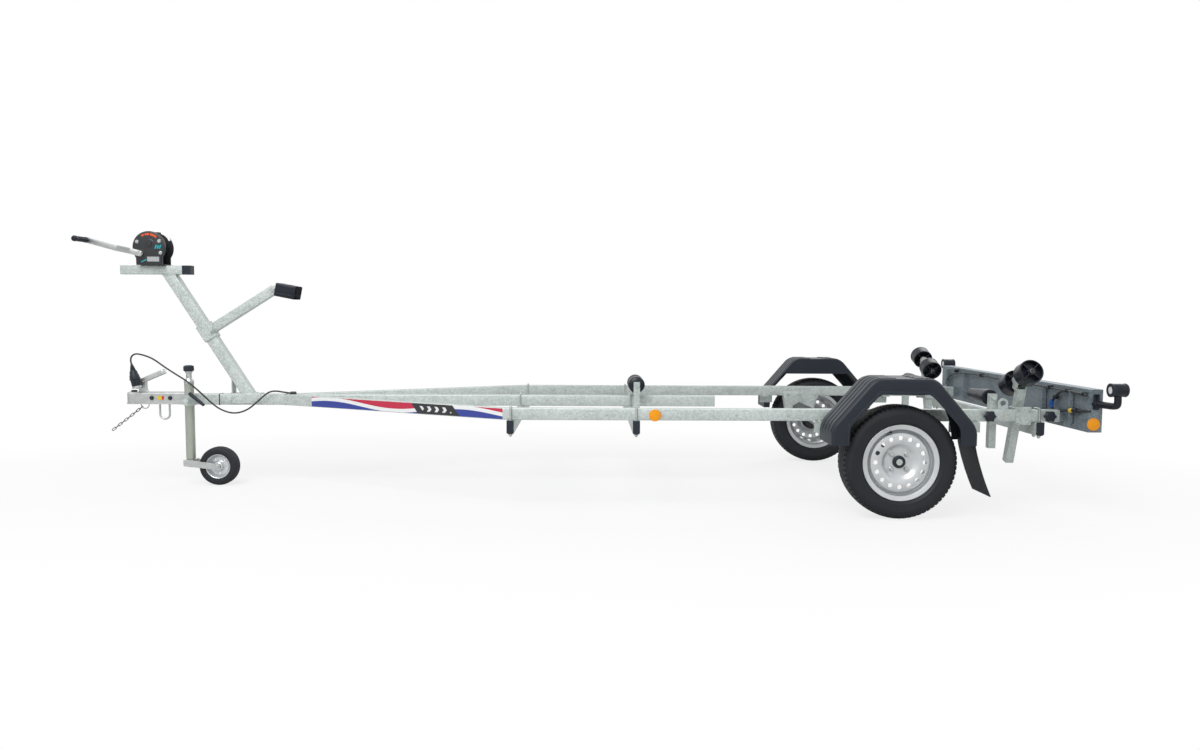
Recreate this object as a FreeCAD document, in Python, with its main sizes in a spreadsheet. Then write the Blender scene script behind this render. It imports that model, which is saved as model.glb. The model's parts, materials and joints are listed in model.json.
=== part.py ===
import FreeCAD, Part
import math
import os

import Sketcher

# Boat trailer, single axle. Millimetres. +X points rearward, +Z up and -Y to the trailer's left.
# Sketches are drawn about the wheel axis; axle_x then carries every piece so that the origin
# lies on the floor under the middle of the trailer.

doc = FreeCAD.newDocument("boat_trailer")
sheet = doc.addObject("Spreadsheet::Sheet", "Sizes")

sizes = {
    # wheels
    "wheel_gap": 147, "tyre_depth": 97.5, "tyre_width": 157, "tyre_inner_radius": 176,
    "rim_lip_radius": 184, "rim_width": 128, "rim_wall": 3.5, "rim_well_radius": 150,
    "disc_offset": 30, "dish_radius": 74, "hub_radius": 52, "hub_length": 90,
    "hub_flange_radius": 68, "hub_flange": 10, "centre_cap_radius": 31, "centre_cap_length": 22,
    "spindle_radius": 15, "spindle_clearance": 0.05,
    "vent_circle": 118,
    # frame
    "rail_top": 506.5, "rail_height": 60, "rail_width": 40, "rail_wall": 3, "rail_outer": 686,
    "drawbar_width": 60, "drawbar_front": 3790, "drawbar_rear": 770, "vee_front": 3202,
    "vee_bend": 1900, "rail_rear": 860, "beam_height": 68, "beam_width": 35, "beam_wall": 2.5,
    "beam_overhang": 14, "cap_length": 12, "beam_front": 1872, "beam_middle": 1250,
    "beam_rear": 755,
    # axle
    "axle_tube": 80, "axle_forward": 135, "axle_height": 360, "arm_gap": 19.5, "arm_big": 40,
    "arm_small": 30, "arm_thick": 24, "saddle_length": 200, "saddle_width": 60,
    # fenders
    "fender_wall": 4, "fender_gap": 30, "fender_over": 30.5, "fender_foot": 345,
    "fender_bottom": 362, "fender_shoulder": 445, "fender_crown": 145, "fender_top": 678,
    "skirt_foot": 262, "skirt_crown": 118, "skirt_top": 606, "skirt_shoulder": 448,
    "inner_arch_radius": 308, "bracket_width": 40, "bracket_thick": 6, "bracket_front": 353,
    "bracket_rear": 430, "bracket_tab": 50, "flap_length": 240, "flap_thick": 4, "flap_lean": 14,
    # coupling
    "ball_x": 4049, "ball_z": 468, "ball_radius": 25, "socket_gap": 0.4, "head_width": 72,
    "head_rear": 3750, "head_top": 516, "head_bottom": 449, "lever_length": 150, "lever_width": 36,
    "lever_height": 24, "lever_pitch": 23, "lever_x": 4008, "lever_z": 562, "loop_wire": 3,
    "eye_drop": 6, "eye_loop_x": 3990, "eye_loop": 22, "ring_wire": 5.5, "ring_loop_x": 3880,
    "ring_loop": 27, "ring_drop": 60, "chain_wire": 2.2, "chain_bend": 5.5, "chain_pitch": 22,
    "chain_slope": 38, "link_gap": 0.1, "cord_radius": 4.5, "plug_x": 4012, "plug_y": 46,
    "plug_z": 552, "plug_lean": 11.6, "plug_length": 128.6, "plug_radius": 28, "plug_body": 86,
    "holder": 12, "gland_length": 30,
    # jockey wheel
    "jockey_x": 3712, "jockey_y": 66, "jockey_tube": 25, "jockey_wall": 3, "jockey_bottom": 150,
    "jockey_top": 570, "jockey_trail": 160, "jockey_wheel": 215, "jockey_tread": 65,
    "jockey_fork_gap": 72, "jockey_fork_wall": 5, "jockey_axle": 10, "jockey_travel": 200,
    "jockey_knob": 27, "jockey_cap": 8, "jockey_neck": 17, "jockey_rise": 62,
    "jockey_knob_height": 40, "face_gap": 0.3,
    # winch post
    "post_x": 3404, "post_size": 60, "post_lean": 32.3, "post_rise": 668, "head_tube": 50,
    "head_tube_front": 4094, "head_tube_rear": 3752, "head_cap": 47, "sleeve_up": 414,
    "sleeve_length": 96, "sleeve_wall": 6, "bow_arm": 50, "bow_arm_end": 452,
    "bow_block_length": 120, "bow_block_width": 110, "bow_block_height": 84,
    # winch
    "winch_x": 3909, "winch_rise": 118, "winch_plate": 4, "winch_gap": 90, "winch_radius": 84,
    "drum_radius": 44, "drum_flange": 62, "crank_x": 3960, "crank_rise": 62, "crank_length": 262,
    "crank_angle": 15, "crank_bar": 8, "grip_length": 125, "grip_radius": 16, "crank_y": 132,
    # rollers
    "keel_x": 1217, "keel_z": 573, "keel_radius": 46, "keel_length": 200, "strap_width": 35,
    "strap_thick": 5, "pin_radius": 10, "pin_clearance": 0.05, "twin_x": 675, "twin_post": 40,
    "twin_post_inset": 32, "twin_post_lean": 16, "twin_post_up": 142, "twin_post_down": 262,
    "twin_tilt": 21, "twin_up": 185, "twin_shift": 22, "twin_ear": 14, "twin_play": 5.5,
    "twin_radius": 59, "twin_width": 75, "twin_gap": 100, "single_x": 544, "single_post": 35,
    "single_gap": 0.5, "single_top": 581, "single_bottom": 307, "single_radius": 40,
    "single_small_radius": 28, "single_length": 225, "single_z": 566,
    # rear
    "board_x": 885, "board_half": 900, "board_height": 205, "board_top": 628, "board_depth": 65,
    "board_wall": 2, "board_arm": 400, "plate_seat": 3, "plate_length": 520, "plate_height": 112,
    "slide_gap": 1, "lamp_height": 90, "lamp_width": 210, "lamp_depth": 42, "lamp_inset": 60,
    "marker_out": 101, "lens_wall": 5, "marker_z": 634, "marker_radius": 34, "marker_length": 76,
    "stalk_radius": 17, "stalk_height": 75, "stalk_bend": 34, "stalk_foot_wall": 8,
    "stalk_foot": 14, "stalk_boss": 20, "stalk_slant": 24, "marker_lead": 34, "lens_depth": 8,
    "reflector_radius": 30, "reflector_depth": 9, "reflector_x": 1158, "reflector_drop": 4,
    "board_reflector_x": 24, "board_reflector_drop": 166, "knob_radius": 26, "front_knob_x": 500,
    "rear_knob_x": 800, "knob_length": 34, "clamp_plate": 76, "clamp_lap": 14,
    # lashing eyes and fasteners
    "eye_x": 582, "eye_height": 50, "eye_width": 50, "eye_thick": 8, "eye_hole": 14,
    "bolt_radius": 5, "bolt_clearance": 0.3, "nut_radius": 9, "nut_height": 9,
}


class Size:
    """A length with its value and the expression that binds it to the sheet."""

    def __init__(self, number, words):
        self.number = number
        self.words = words

    def __add__(self, other):
        return joined(self, "+", other)

    def __radd__(self, other):
        return joined(other, "+", self)

    def __sub__(self, other):
        return joined(self, "-", other)

    def __rsub__(self, other):
        return joined(other, "-", self)

    def __mul__(self, other):
        return joined(self, "*", other)

    def __rmul__(self, other):
        return joined(other, "*", self)

    def __truediv__(self, other):
        return joined(self, "/", other)

    def __neg__(self):
        return joined(-1, "*", self)


def number(size):
    return size.number if isinstance(size, Size) else float(size)


def words(size):
    return size.words if isinstance(size, Size) else repr(float(size))


def joined(first, sign, second):
    a, b = number(first), number(second)
    result = {"+": a + b, "-": a - b, "*": a * b}.get(sign)
    if result is None:
        result = a / b
    return Size(result, "(%s %s %s)" % (words(first), sign, words(second)))


def function(name, size):
    turns = {"cos": math.cos, "sin": math.sin, "tan": math.tan}
    result = turns[name](math.radians(number(size))) if name in turns else math.sqrt(number(size))
    return Size(result, "%s(%s)" % (name, words(size)))


def cos(angle):
    return function("cos", angle)


def sin(angle):
    return function("sin", angle)


def tan(angle):
    return function("tan", angle)


class Sheet:
    """Every size in the sheet as a Size, by its alias."""


s = Sheet()
for row, (alias, amount) in enumerate(sizes.items(), 1):
    sheet.set("A%d" % row, alias)
    sheet.set("B%d" % row, str(amount))
    sheet.setAlias("B%d" % row, alias)
    setattr(s, alias, Size(float(amount), "Sizes." + alias))
doc.recompute()

turns = {"XY": FreeCAD.Rotation(0, 0, 0),
         "XZ": FreeCAD.Rotation(FreeCAD.Vector(1, 0, 0), 90),
         "YZ": FreeCAD.Rotation(FreeCAD.Vector(1, 1, 1), 120)}
nodes = {}


def bind(item, path, size):
    if isinstance(size, Size):
        item.setExpression(path, words(size))


def place(item, x=0, y=0, z=0, turn=None, axis=None, angle=0):
    """Puts a piece at x, y, z about the wheel axis, turned by a fixed or a bound angle."""
    rotation = turn if turn else FreeCAD.Rotation()
    if axis:
        rotation = FreeCAD.Rotation(FreeCAD.Vector(*axis), number(angle))
    x = s.axle_x + x
    item.Placement = FreeCAD.Placement(FreeCAD.Vector(number(x), number(y), number(z)), rotation)
    bind(item, "Placement.Base.x", x)
    bind(item, "Placement.Base.y", y)
    bind(item, "Placement.Base.z", z)
    if axis:
        bind(item, "Placement.Rotation.Angle", angle)
    return item


def outline(sketch, points):
    """Draws a closed outline whose corners are all bound to the sheet.

    A corner is (x, y), or (x, y, rise) where the side to the next corner is an arc that rises
    to the right of its chord by rise.
    """
    first = sketch.GeometryCount
    count = len(points)
    ends = []
    for i, corner in enumerate(points):
        x0, y0 = corner[:2]
        x1, y1 = points[(i + 1) % count][:2]
        start = FreeCAD.Vector(number(x0), number(y0), 0)
        end = FreeCAD.Vector(number(x1), number(y1), 0)
        rise = number(corner[2]) if len(corner) == 3 else 0
        if rise == 0:
            sketch.addGeometry(Part.LineSegment(start, end), False)
            ends.append((1, 2))
            continue
        chord = end - start
        middle = (start + end) * 0.5 + FreeCAD.Vector(chord.y, -chord.x, 0).normalize() * rise
        sketch.addGeometry(Part.Arc(start, middle, end), False)
        ends.append((1, 2) if rise > 0 else (2, 1))
    for i, corner in enumerate(points):
        after = (i + 1) % count
        sketch.addConstraint(Sketcher.Constraint(
            "Coincident", first + i, ends[i][1], first + after, ends[after][0]))
        for kind, along in (("DistanceX", corner[0]), ("DistanceY", corner[1])):
            tie(sketch, along, kind, -1, 1, first + i, ends[i][0])
        if len(corner) == 3:
            dx, dy = points[after][0] - corner[0], points[after][1] - corner[1]
            rise = corner[2] if number(corner[2]) > 0 else -corner[2]
            tie(sketch, (dx * dx / 4 + dy * dy / 4 + rise * rise) / (2 * rise), "Radius", first + i)


def tie(sketch, size, kind, *ends):
    """Adds one dimension and binds it to the sheet."""
    index = sketch.addConstraint(Sketcher.Constraint(kind, *ends, number(size)))
    if isinstance(size, Size):
        sketch.setExpression("Constraints[%d]" % index, words(size))


def ring(sketch, radius, x=0, y=0):
    """Draws a full circle bound to the sheet."""
    centre = FreeCAD.Vector(number(x), number(y), 0)
    index = sketch.addGeometry(Part.Circle(centre, FreeCAD.Vector(0, 0, 1), number(radius)), False)
    tie(sketch, x, "DistanceX", -1, 1, index, 3)
    tie(sketch, y, "DistanceY", -1, 1, index, 3)
    tie(sketch, radius, "Radius", index)


def new_sketch(body, name, lift=0):
    sketch = body.newObject("Sketcher::SketchObject", name)
    plane = [f for f in body.Origin.OriginFeatures if f.Role == "XY_Plane"][0]
    sketch.AttachmentSupport = (plane, [""])
    sketch.MapMode = "FlatFace"
    sketch.AttachmentOffset = FreeCAD.Placement(
        FreeCAD.Vector(0, 0, number(lift)), FreeCAD.Rotation())
    bind(sketch, "AttachmentOffset.Base.z", lift)
    return sketch


def pad(body, name, shapes, length, lift=0):
    """Pads outlines and circles by length from the height lift of the body's own plane."""
    sketch = new_sketch(body, name + "_sketch", lift)
    for shape in shapes:
        if callable(shape):
            shape(sketch)
        else:
            outline(sketch, shape)
    feature = body.newObject("PartDesign::Pad", name)
    feature.Profile = sketch
    feature.Length = number(length)
    bind(feature, "Length", length)
    return feature


def pocket(body, name, shapes, length, lift=0):
    """Cuts outlines and circles from the height lift down by length."""
    sketch = new_sketch(body, name + "_sketch", lift)
    for shape in shapes:
        if callable(shape):
            shape(sketch)
        else:
            outline(sketch, shape)
    feature = body.newObject("PartDesign::Pocket", name)
    feature.Profile = sketch
    feature.Length = number(length)
    bind(feature, "Length", length)
    return feature


def new_body(name):
    body = doc.addObject("PartDesign::Body", name)
    body.AllowCompound = True
    return body


def hole(radius, x=0, y=0):
    return lambda sketch: ring(sketch, radius, x, y)


def rectangle(x0, x1, y0, y1):
    return [(x0, y0), (x1, y0), (x1, y1), (x0, y1)]


def prism(name, plane, shapes, start, length):
    """A padded outline lying in a main plane, from start along that plane's axis."""
    body = new_body(name)
    pad(body, name + "_pad", shapes, length)
    if plane == "XY":
        return place(body, z=start)
    if plane == "XZ":
        return place(body, y=start + length, turn=turns["XZ"])
    return place(body, x=start, turn=turns["YZ"])


def revolve(body, name, points, kind="PartDesign::Revolution"):
    """Turns an outline drawn in the body's plane about its X axis."""
    sketch = new_sketch(body, name + "_sketch")
    outline(sketch, points)
    feature = body.newObject(kind, name)
    feature.Profile = sketch
    feature.ReferenceAxis = (sketch, ["H_Axis"])
    feature.Angle = 360
    return feature


def turned(name, points):
    """A turned piece: its outline's first number runs along the axis, the second outward."""
    body = new_body(name)
    revolve(body, name + "_turn", points)
    return body


def box(name, x0, x1, y0, y1, z0, z1):
    item = doc.addObject("Part::Box", name)
    for path, size in (("Length", x1 - x0), ("Width", y1 - y0), ("Height", z1 - z0)):
        setattr(item, path, number(size))
        if isinstance(size, Size):
            bind(item, path, size)
    return place(item, x0, y0, z0)


def rod(name, radius, length, x=0, y=0, z=0, turn=None, axis=None, angle=0):
    item = doc.addObject("Part::Cylinder", name)
    item.Radius = number(radius)
    item.Height = number(length)
    bind(item, "Radius", radius)
    bind(item, "Height", length)
    return place(item, x, y, z, turn, axis, angle)


def cut(name, base, tool):
    item = doc.addObject("Part::Cut", name)
    item.Base = base
    item.Tool = tool
    return item


def fuse(name, *pieces):
    item = doc.addObject("Part::MultiFuse", name)
    item.Shapes = list(pieces)
    item.Refine = True
    return item


def together(name, *pieces):
    """Like pieces of one body that don't touch, kept as one sub-part."""
    item = doc.addObject("Part::Compound", name)
    item.Links = list(pieces)
    return item


def node(name, item):
    item.Label = name
    nodes[name] = item
    return item


along_y = FreeCAD.Rotation(FreeCAD.Vector(1, 0, 0), -90)
along_x = FreeCAD.Rotation(FreeCAD.Vector(0, 1, 0), 90)


# derived sizes
s.tyre_diameter = 2 * (s.tyre_inner_radius + s.tyre_depth)
s.wheel_z = s.tyre_diameter / 2
s.wheel_y = s.rail_outer + s.wheel_gap
s.rail_bottom = s.rail_top - s.rail_height
s.rail_inner = s.rail_outer - s.rail_width
s.rail_middle = s.rail_outer - s.rail_width / 2
s.fender_inner = s.rail_outer + s.fender_gap
s.fender_outer = s.wheel_y + s.tyre_width / 2 + s.fender_over
s.axle_half = s.wheel_y - s.tyre_width / 2 - s.arm_gap
s.beam_half = s.rail_outer + s.beam_overhang
s.beam_bottom = s.rail_bottom - s.beam_height
s.twin_post_y = s.rail_inner - s.twin_post_inset
s.single_y = s.rail_inner - s.single_post / 2 - s.single_gap
s.vee_side = s.rail_outer - s.drawbar_width / 2
s.vee_run = s.vee_front - s.vee_bend
s.vee_slant = function("sqrt", s.vee_side * s.vee_side + s.vee_run * s.vee_run)
s.post_top_x = s.post_x + s.post_rise * tan(s.post_lean)
s.post_top_z = s.rail_top + s.post_rise
s.head_tube_top = s.post_top_z + s.head_tube
s.winch_z = s.head_tube_top + s.winch_rise
s.crank_z = s.head_tube_top + s.crank_rise
s.stalk_x = s.board_x + s.board_depth / 2
s.stalk_run = s.marker_out
s.marker_y = s.board_half + s.board_wall + s.marker_out
s.stalk_top_x = s.stalk_x + s.stalk_run * tan(s.stalk_slant)
s.marker_front = s.stalk_top_x - s.marker_lead
s.marker_rear = s.marker_front + s.marker_length
s.nose_reach = s.crank_x + s.crank_length * cos(s.crank_angle) + s.grip_radius
s.tail_reach = s.marker_rear
s.axle_x = (s.nose_reach - s.tail_reach) / 2


def rail_plan(side, inset):
    """The plan of a side rail, straight behind the bend and running in to the drawbar."""
    near, far = inset, s.rail_width - inset
    front = side * s.drawbar_width / 2
    half_turn = (s.vee_slant - s.vee_run) / s.vee_side
    return [(-s.vee_front + near * s.vee_slant / s.vee_side, front),
            (-s.vee_bend + near * half_turn, side * (s.rail_outer - near)),
            (s.rail_rear, side * (s.rail_outer - near)),
            (s.rail_rear, side * (s.rail_outer - far)),
            (-s.vee_bend + far * half_turn, side * (s.rail_outer - far)),
            (-s.vee_front + far * s.vee_slant / s.vee_side, front)]


def side_rail(name, side):
    body = prism(name, "XY", [rail_plan(side, 0)], s.rail_bottom, s.rail_height)
    inside = s.rail_height - 2 * s.rail_wall
    pocket(body, name + "_hollow", [rail_plan(side, s.rail_wall)], inside, s.rail_height - s.rail_wall)
    return body


def square_tube(name, plane, across, up, width, height, wall, start, length):
    """A hollow section centred on across, up in its plane."""
    outer = rectangle(across - width / 2, across + width / 2, up - height / 2, up + height / 2)
    w, h = width / 2 - wall, height / 2 - wall
    inner = rectangle(across - w, across + w, up - h, up + h)
    return prism(name, plane, [outer, inner], start, length)


def drawbar():
    up = s.rail_top - s.rail_height / 2
    return square_tube("drawbar", "YZ", 0, up, s.drawbar_width, s.rail_height, s.rail_wall,
                       -s.drawbar_front, s.drawbar_front - s.drawbar_rear)


chain_links = 10
beam_places = (-s.beam_front, -s.beam_middle, s.beam_rear)


def beam_bolts(i):
    """Where the bolts cross a beam: each tube's middle and half its width."""
    crossings = [(side * s.rail_middle, s.rail_width / 2) for side in (-1, 1)]
    if beam_places[i] is not beam_places[-1]:
        crossings.append((0, s.drawbar_width / 2))
    return crossings


def cross_beams():
    """Hollow beams under the rails, drilled for the legs of the bolts."""
    up = s.rail_bottom - s.beam_height / 2
    beams = []
    for i, x in enumerate(beam_places):
        tube = square_tube("cross_tube_%d" % i, "XZ", x, up, s.beam_width, s.beam_height,
                           s.beam_wall, -s.beam_half, 2 * s.beam_half)
        drills = []
        for middle, half_gap in beam_bolts(i):
            for k in (-1, 1):
                y = middle + k * (half_gap + s.bolt_radius)
                drills.append(rod("drill_%d_%d" % (i, len(drills)), s.bolt_radius + s.bolt_clearance,
                                  s.beam_height + 2, x, y, s.beam_bottom - 1))
        beams.append(cut("cross_beam_%d" % i, tube, fuse("drills_%d" % i, *drills)))
    return together("cross_beams", *beams)


def end_caps():
    """Plastic caps in the beams' ends and in the head tube's rear end."""
    half = s.head_tube / 2
    caps = [box("head_tube_cap", -s.head_tube_rear, -s.head_tube_rear + s.head_cap, -half, half, s.post_top_z,
                s.head_tube_top)]
    for i, x in enumerate(beam_places):
        w, h = s.beam_width / 2, s.rail_bottom
        shape = [(x - w, h), (x - w, s.beam_bottom + w), (x + w, s.beam_bottom + w), (x + w, h)]
        shape[1] = (x - w, s.beam_bottom + w / 2, w / 2)
        shape[2] = (x + w, s.beam_bottom + w / 2)
        for side, start in (("left", -s.beam_half - s.cap_length), ("right", s.beam_half)):
            caps.append(prism("beam_cap_%d_%s" % (i, side), "XZ", [shape], start, s.cap_length))
    return together("end_caps", *caps)


def u_bolt(name, x, y, half_gap, top, bottom):
    """A square-bent rod over a tube: two legs and the bar across them, with their nuts."""
    r = s.bolt_radius
    across = half_gap + r
    low = bottom - s.nut_height - r
    pieces = [rod("%s_leg_%d" % (name, k), r, top + r - low, x, y + k * across, low) for k in (-1, 1)]
    pieces.append(rod(name + "_bar", r, 2 * across, x, y - across, top + r, turn=along_y))
    for k in (-1, 1):
        pieces.append(rod("%s_nut_%d" % (name, k), s.nut_radius, s.nut_height, x, y + k * across,
                          bottom - s.nut_height))
    return fuse(name, *pieces)


def frame_u_bolts():
    bolts = []
    for i, x in enumerate(beam_places):
        for k, (middle, half_gap) in enumerate(beam_bolts(i)):
            bolts.append(u_bolt("frame_bolt_%d_%d" % (i, k), x, middle, half_gap, s.rail_top,
                                s.beam_bottom))
    return together("frame_u_bolts", *bolts)


def axle_beam():
    """The rubber torsion axle's hexagonal outer tube."""
    flat = s.axle_tube / 2
    corner = flat / cos(Size(30.0, "30"))
    x, z = -s.axle_forward, s.axle_height
    shape = [(x - flat, z - corner / 2), (x, z - corner), (x + flat, z - corner / 2),
             (x + flat, z + corner / 2), (x, z + corner), (x - flat, z + corner / 2)]
    return prism("axle_beam", "XZ", [shape], -s.axle_half, 2 * s.axle_half)


def axle_saddles():
    """Pressed seats that hold the axle tube under each rail."""
    flat = s.axle_tube / 2
    corner = flat / cos(Size(30.0, "30"))
    x, z = -s.axle_forward, s.axle_height
    half = s.saddle_length / 2
    shape = [(x - half, s.rail_bottom), (x - half * 0.82, z - 10), (x - flat, z - 10),
             (x - flat, z + corner / 2), (x, z + corner), (x + flat, z + corner / 2),
             (x + flat, z - 10), (x + half * 0.82, z - 10), (x + half, s.rail_bottom)]
    return together("axle_saddles", *[
        prism("axle_saddle_%s" % side, "XZ", [shape],
              side * s.rail_middle - s.saddle_width / 2, s.saddle_width) for side in (-1, 1)])


def swing_arms():
    """Trailing arms between the axle tube's ends and the stub axles in the hubs."""
    arms = []
    for side in (-1, 1):
        name = "swing_arm_%s" % side
        x, z = -s.axle_forward, s.axle_height
        start = side * s.axle_half if side > 0 else -s.axle_half - s.arm_thick
        big = rod(name + "_root", s.arm_big, s.arm_thick, x, start, z, turn=along_y)
        small = rod(name + "_end", s.arm_small, s.arm_thick, 0, start, s.wheel_z, turn=along_y)
        web = prism(name + "_web", "XZ", [[
            (x - s.arm_small * 0.45, z - s.arm_small), (s.arm_small * -0.45, s.wheel_z - s.arm_small * 0.85),
            (s.arm_small * 0.5, s.wheel_z + s.arm_small * 0.8), (x + s.arm_small * 0.5, z + s.arm_small)]],
            start, s.arm_thick)
        length = s.wheel_y + s.disc_offset - s.axle_half + 12
        stub_start = s.axle_half if side > 0 else -s.axle_half - length
        stub = rod(name + "_stub", s.spindle_radius, length, 0, stub_start, s.wheel_z, turn=along_y)
        arms.append(fuse(name, big, small, web, stub))
    return together("swing_arms", *arms)


def facing(side):
    """The turn that points a turned piece's axis outboard."""
    return FreeCAD.Rotation(FreeCAD.Vector(0, 0, 1), 90 * side)


def wheel_piece(body, side):
    return place(body, 0, side * s.wheel_y, s.wheel_z, turn=facing(side))


def tyre(name, side):
    w, outer, inner = s.tyre_width / 2, s.tyre_diameter / 2, s.tyre_inner_radius
    bead = s.rim_width / 2 - s.rim_wall - 0.5
    side_height = outer - s.rim_lip_radius
    widest = s.rim_lip_radius + side_height * 0.45
    profile = [(-bead, inner - 9), (bead, inner - 9), (bead, s.rim_lip_radius + 2),
               (w, widest), (w * 0.84, outer - 6), (w * 0.66, outer), (-w * 0.66, outer),
               (-w * 0.84, outer - 6), (-w, widest), (-bead, s.rim_lip_radius + 2)]
    return wheel_piece(turned(name, profile), side)


def rim(name, side):
    """A pressed steel wheel: barrel with lips, and the disc with its dish and vent holes."""
    half, wall = s.rim_width / 2, s.rim_wall
    lip, seat, well = s.rim_lip_radius, s.tyre_inner_radius - 10, s.rim_well_radius
    face = s.disc_offset
    barrel = turned(name + "_barrel", [
        (-half, lip), (-half, seat - wall), (-half * 0.45, seat - wall), (-half * 0.3, well),
        (half * 0.3, well), (half * 0.45, seat - wall), (half, seat - wall), (half, lip),
        (half - wall, lip), (half - wall, seat), (half * 0.48, seat), (half * 0.33, well + wall),
        (-half * 0.33, well + wall), (-half * 0.48, seat), (-half + wall, seat), (-half + wall, lip)])
    disc = turned(name + "_disc", [
        (face, s.centre_cap_radius), (face, s.dish_radius), (face + 16, s.dish_radius + 12),
        (face + 22, s.vent_circle), (face + 14, well - 4), (face - 16, well + 1), (face - 22, well + 1),
        (face + 8, well - 8), (face + 17, s.vent_circle), (face + 11, s.dish_radius + 15),
        (face - 5, s.dish_radius + 2), (face - 5, s.centre_cap_radius)])
    wheel_piece(barrel, side)
    wheel_piece(disc, side)
    return fuse(name + "_rim", barrel, disc)


def hub(name, side):
    """The hub's bored body and flange, seated against the wheel disc."""
    face = s.disc_offset - 5
    bore = s.spindle_radius + s.spindle_clearance
    profile = [(face - s.hub_length, bore), (face - s.hub_length, s.hub_radius), (face - s.hub_flange, s.hub_radius),
               (face - s.hub_flange, s.hub_flange_radius), (face, s.hub_flange_radius), (face, bore)]
    return wheel_piece(turned(name, profile), side)


def centre_cap(name, side):
    face = s.disc_offset - 5
    r, end = s.centre_cap_radius - 0.3, face + 5 + s.centre_cap_length
    profile = [(end - 6, 0), (end - 6, r - 4), (face, r - 4), (face, r), (end - 3, r), (end, r - 4), (end, 0)]
    return wheel_piece(turned(name, profile), side)


def fender_side(foot, bottom, shoulder, crown, top):
    return [(-foot, bottom), (foot, bottom), (foot, shoulder), (crown, top), (-crown, top), (-foot, shoulder)]


def fender(name, side):
    """A moulded fender: sloped panels, an outer skirt with a cut-out and an arched inner skirt."""
    wall, width = s.fender_wall, s.fender_outer - s.fender_inner
    start = s.fender_inner if side > 0 else -s.fender_outer
    outer = fender_side(s.fender_foot, s.fender_bottom, s.fender_shoulder, s.fender_crown, s.fender_top)
    body = prism(name, "XZ", [outer], start, width)
    inner = fender_side(s.fender_foot - wall, s.fender_bottom - 1, s.fender_shoulder - wall * 0.4,
                        s.fender_crown - wall * 0.4, s.fender_top - wall)
    pocket(body, name + "_inside", [inner], width - 2 * wall, width - wall)
    skirt = fender_side(s.skirt_foot, s.fender_bottom - 1, s.skirt_shoulder, s.skirt_crown, s.skirt_top)
    arch = [(-s.inner_arch_radius, s.fender_bottom - 1), (s.inner_arch_radius, s.fender_bottom - 1),
            (s.inner_arch_radius, s.wheel_z + 90, s.inner_arch_radius - 90), (-s.inner_arch_radius, s.wheel_z + 90)]
    near, far = (skirt, arch) if side < 0 else (arch, skirt)
    pocket(body, name + "_near", [near], wall + 1, width + 0.5)
    pocket(body, name + "_far", [far], wall + 1, wall + 0.5)
    return body


def fender_brackets():
    """Flat bars under the rails, each with a tab bolted to its fender's inner skirt."""
    bars = []
    thick, w = s.bracket_thick, s.bracket_width / 2
    for side in (-1, 1):
        for end, x in (("front", -s.bracket_front), ("rear", s.bracket_rear)):
            name = "fender_bracket_%s_%d" % (end, side)
            edge = s.fender_inner
            near, far = (s.rail_inner, edge) if side > 0 else (-edge, -s.rail_inner)
            bar = box(name + "_bar", x - w, x + w, near, far, s.rail_bottom - thick, s.rail_bottom)
            inner = s.fender_foot - s.bracket_tab
            low, high = (x - w, -inner) if end == "front" else (inner, x + w)
            near, far = (edge - thick, edge) if side > 0 else (-edge, -edge + thick)
            tab = box(name + "_tab", low, high, near, far, s.rail_bottom - s.bracket_tab, s.rail_bottom)
            bars.append(fuse(name, bar, tab))
    return together("fender_brackets", *bars)


def mudflaps():
    flaps = []
    for side in (-1, 1):
        width = s.fender_outer - s.fender_inner - 2 * s.fender_wall
        start = s.fender_inner + s.fender_wall if side > 0 else -s.fender_outer + s.fender_wall
        x = s.fender_foot - s.fender_wall - s.flap_thick
        top, run = s.fender_bottom + 20, s.flap_length * tan(s.flap_lean)
        bottom = s.fender_bottom - s.flap_length
        shape = [(x, top), (x, s.fender_bottom), (x + run, bottom), (x + run + s.flap_thick, bottom),
                 (x + s.flap_thick, s.fender_bottom), (x + s.flap_thick, top)]
        flaps.append(prism("mudflap_%d" % side, "XZ", [shape], start, width))
    return together("mudflaps", *flaps)


def coupling_head():
    """A pressed housing over the drawbar's end, with the ball socket in its nose."""
    w, wall = s.head_width / 2, (s.head_width - s.drawbar_width) / 2
    nose = s.ball_x + w
    plan = [(-nose + w, -w), (-s.head_rear, -w), (-s.head_rear, w), (-nose + w, w, -w * 0.999)]
    plan[3] = (-nose + w, w, w * 0.999)
    body = prism("coupling_head", "XY", [plan], s.head_bottom, s.head_top - s.head_bottom)
    gap = s.drawbar_width / 2 + 0.05
    channel = rectangle(-s.drawbar_front - 0.1, -s.head_rear + 1, -gap, gap)
    pocket(body, "coupling_channel", [channel], s.rail_top - s.head_bottom + 1, s.rail_top - s.head_bottom)
    socket = s.ball_radius + s.socket_gap
    pocket(body, "coupling_mouth", [hole(socket, -s.ball_x, 0)], s.ball_z - s.head_bottom + 1,
           s.ball_z - s.head_bottom)
    ball = doc.addObject("Part::Sphere", "coupling_socket")
    ball.Radius = number(socket)
    bind(ball, "Radius", socket)
    place(ball, -s.ball_x, 0, s.ball_z)
    return cut("coupling_head_shell", body, ball)


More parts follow.
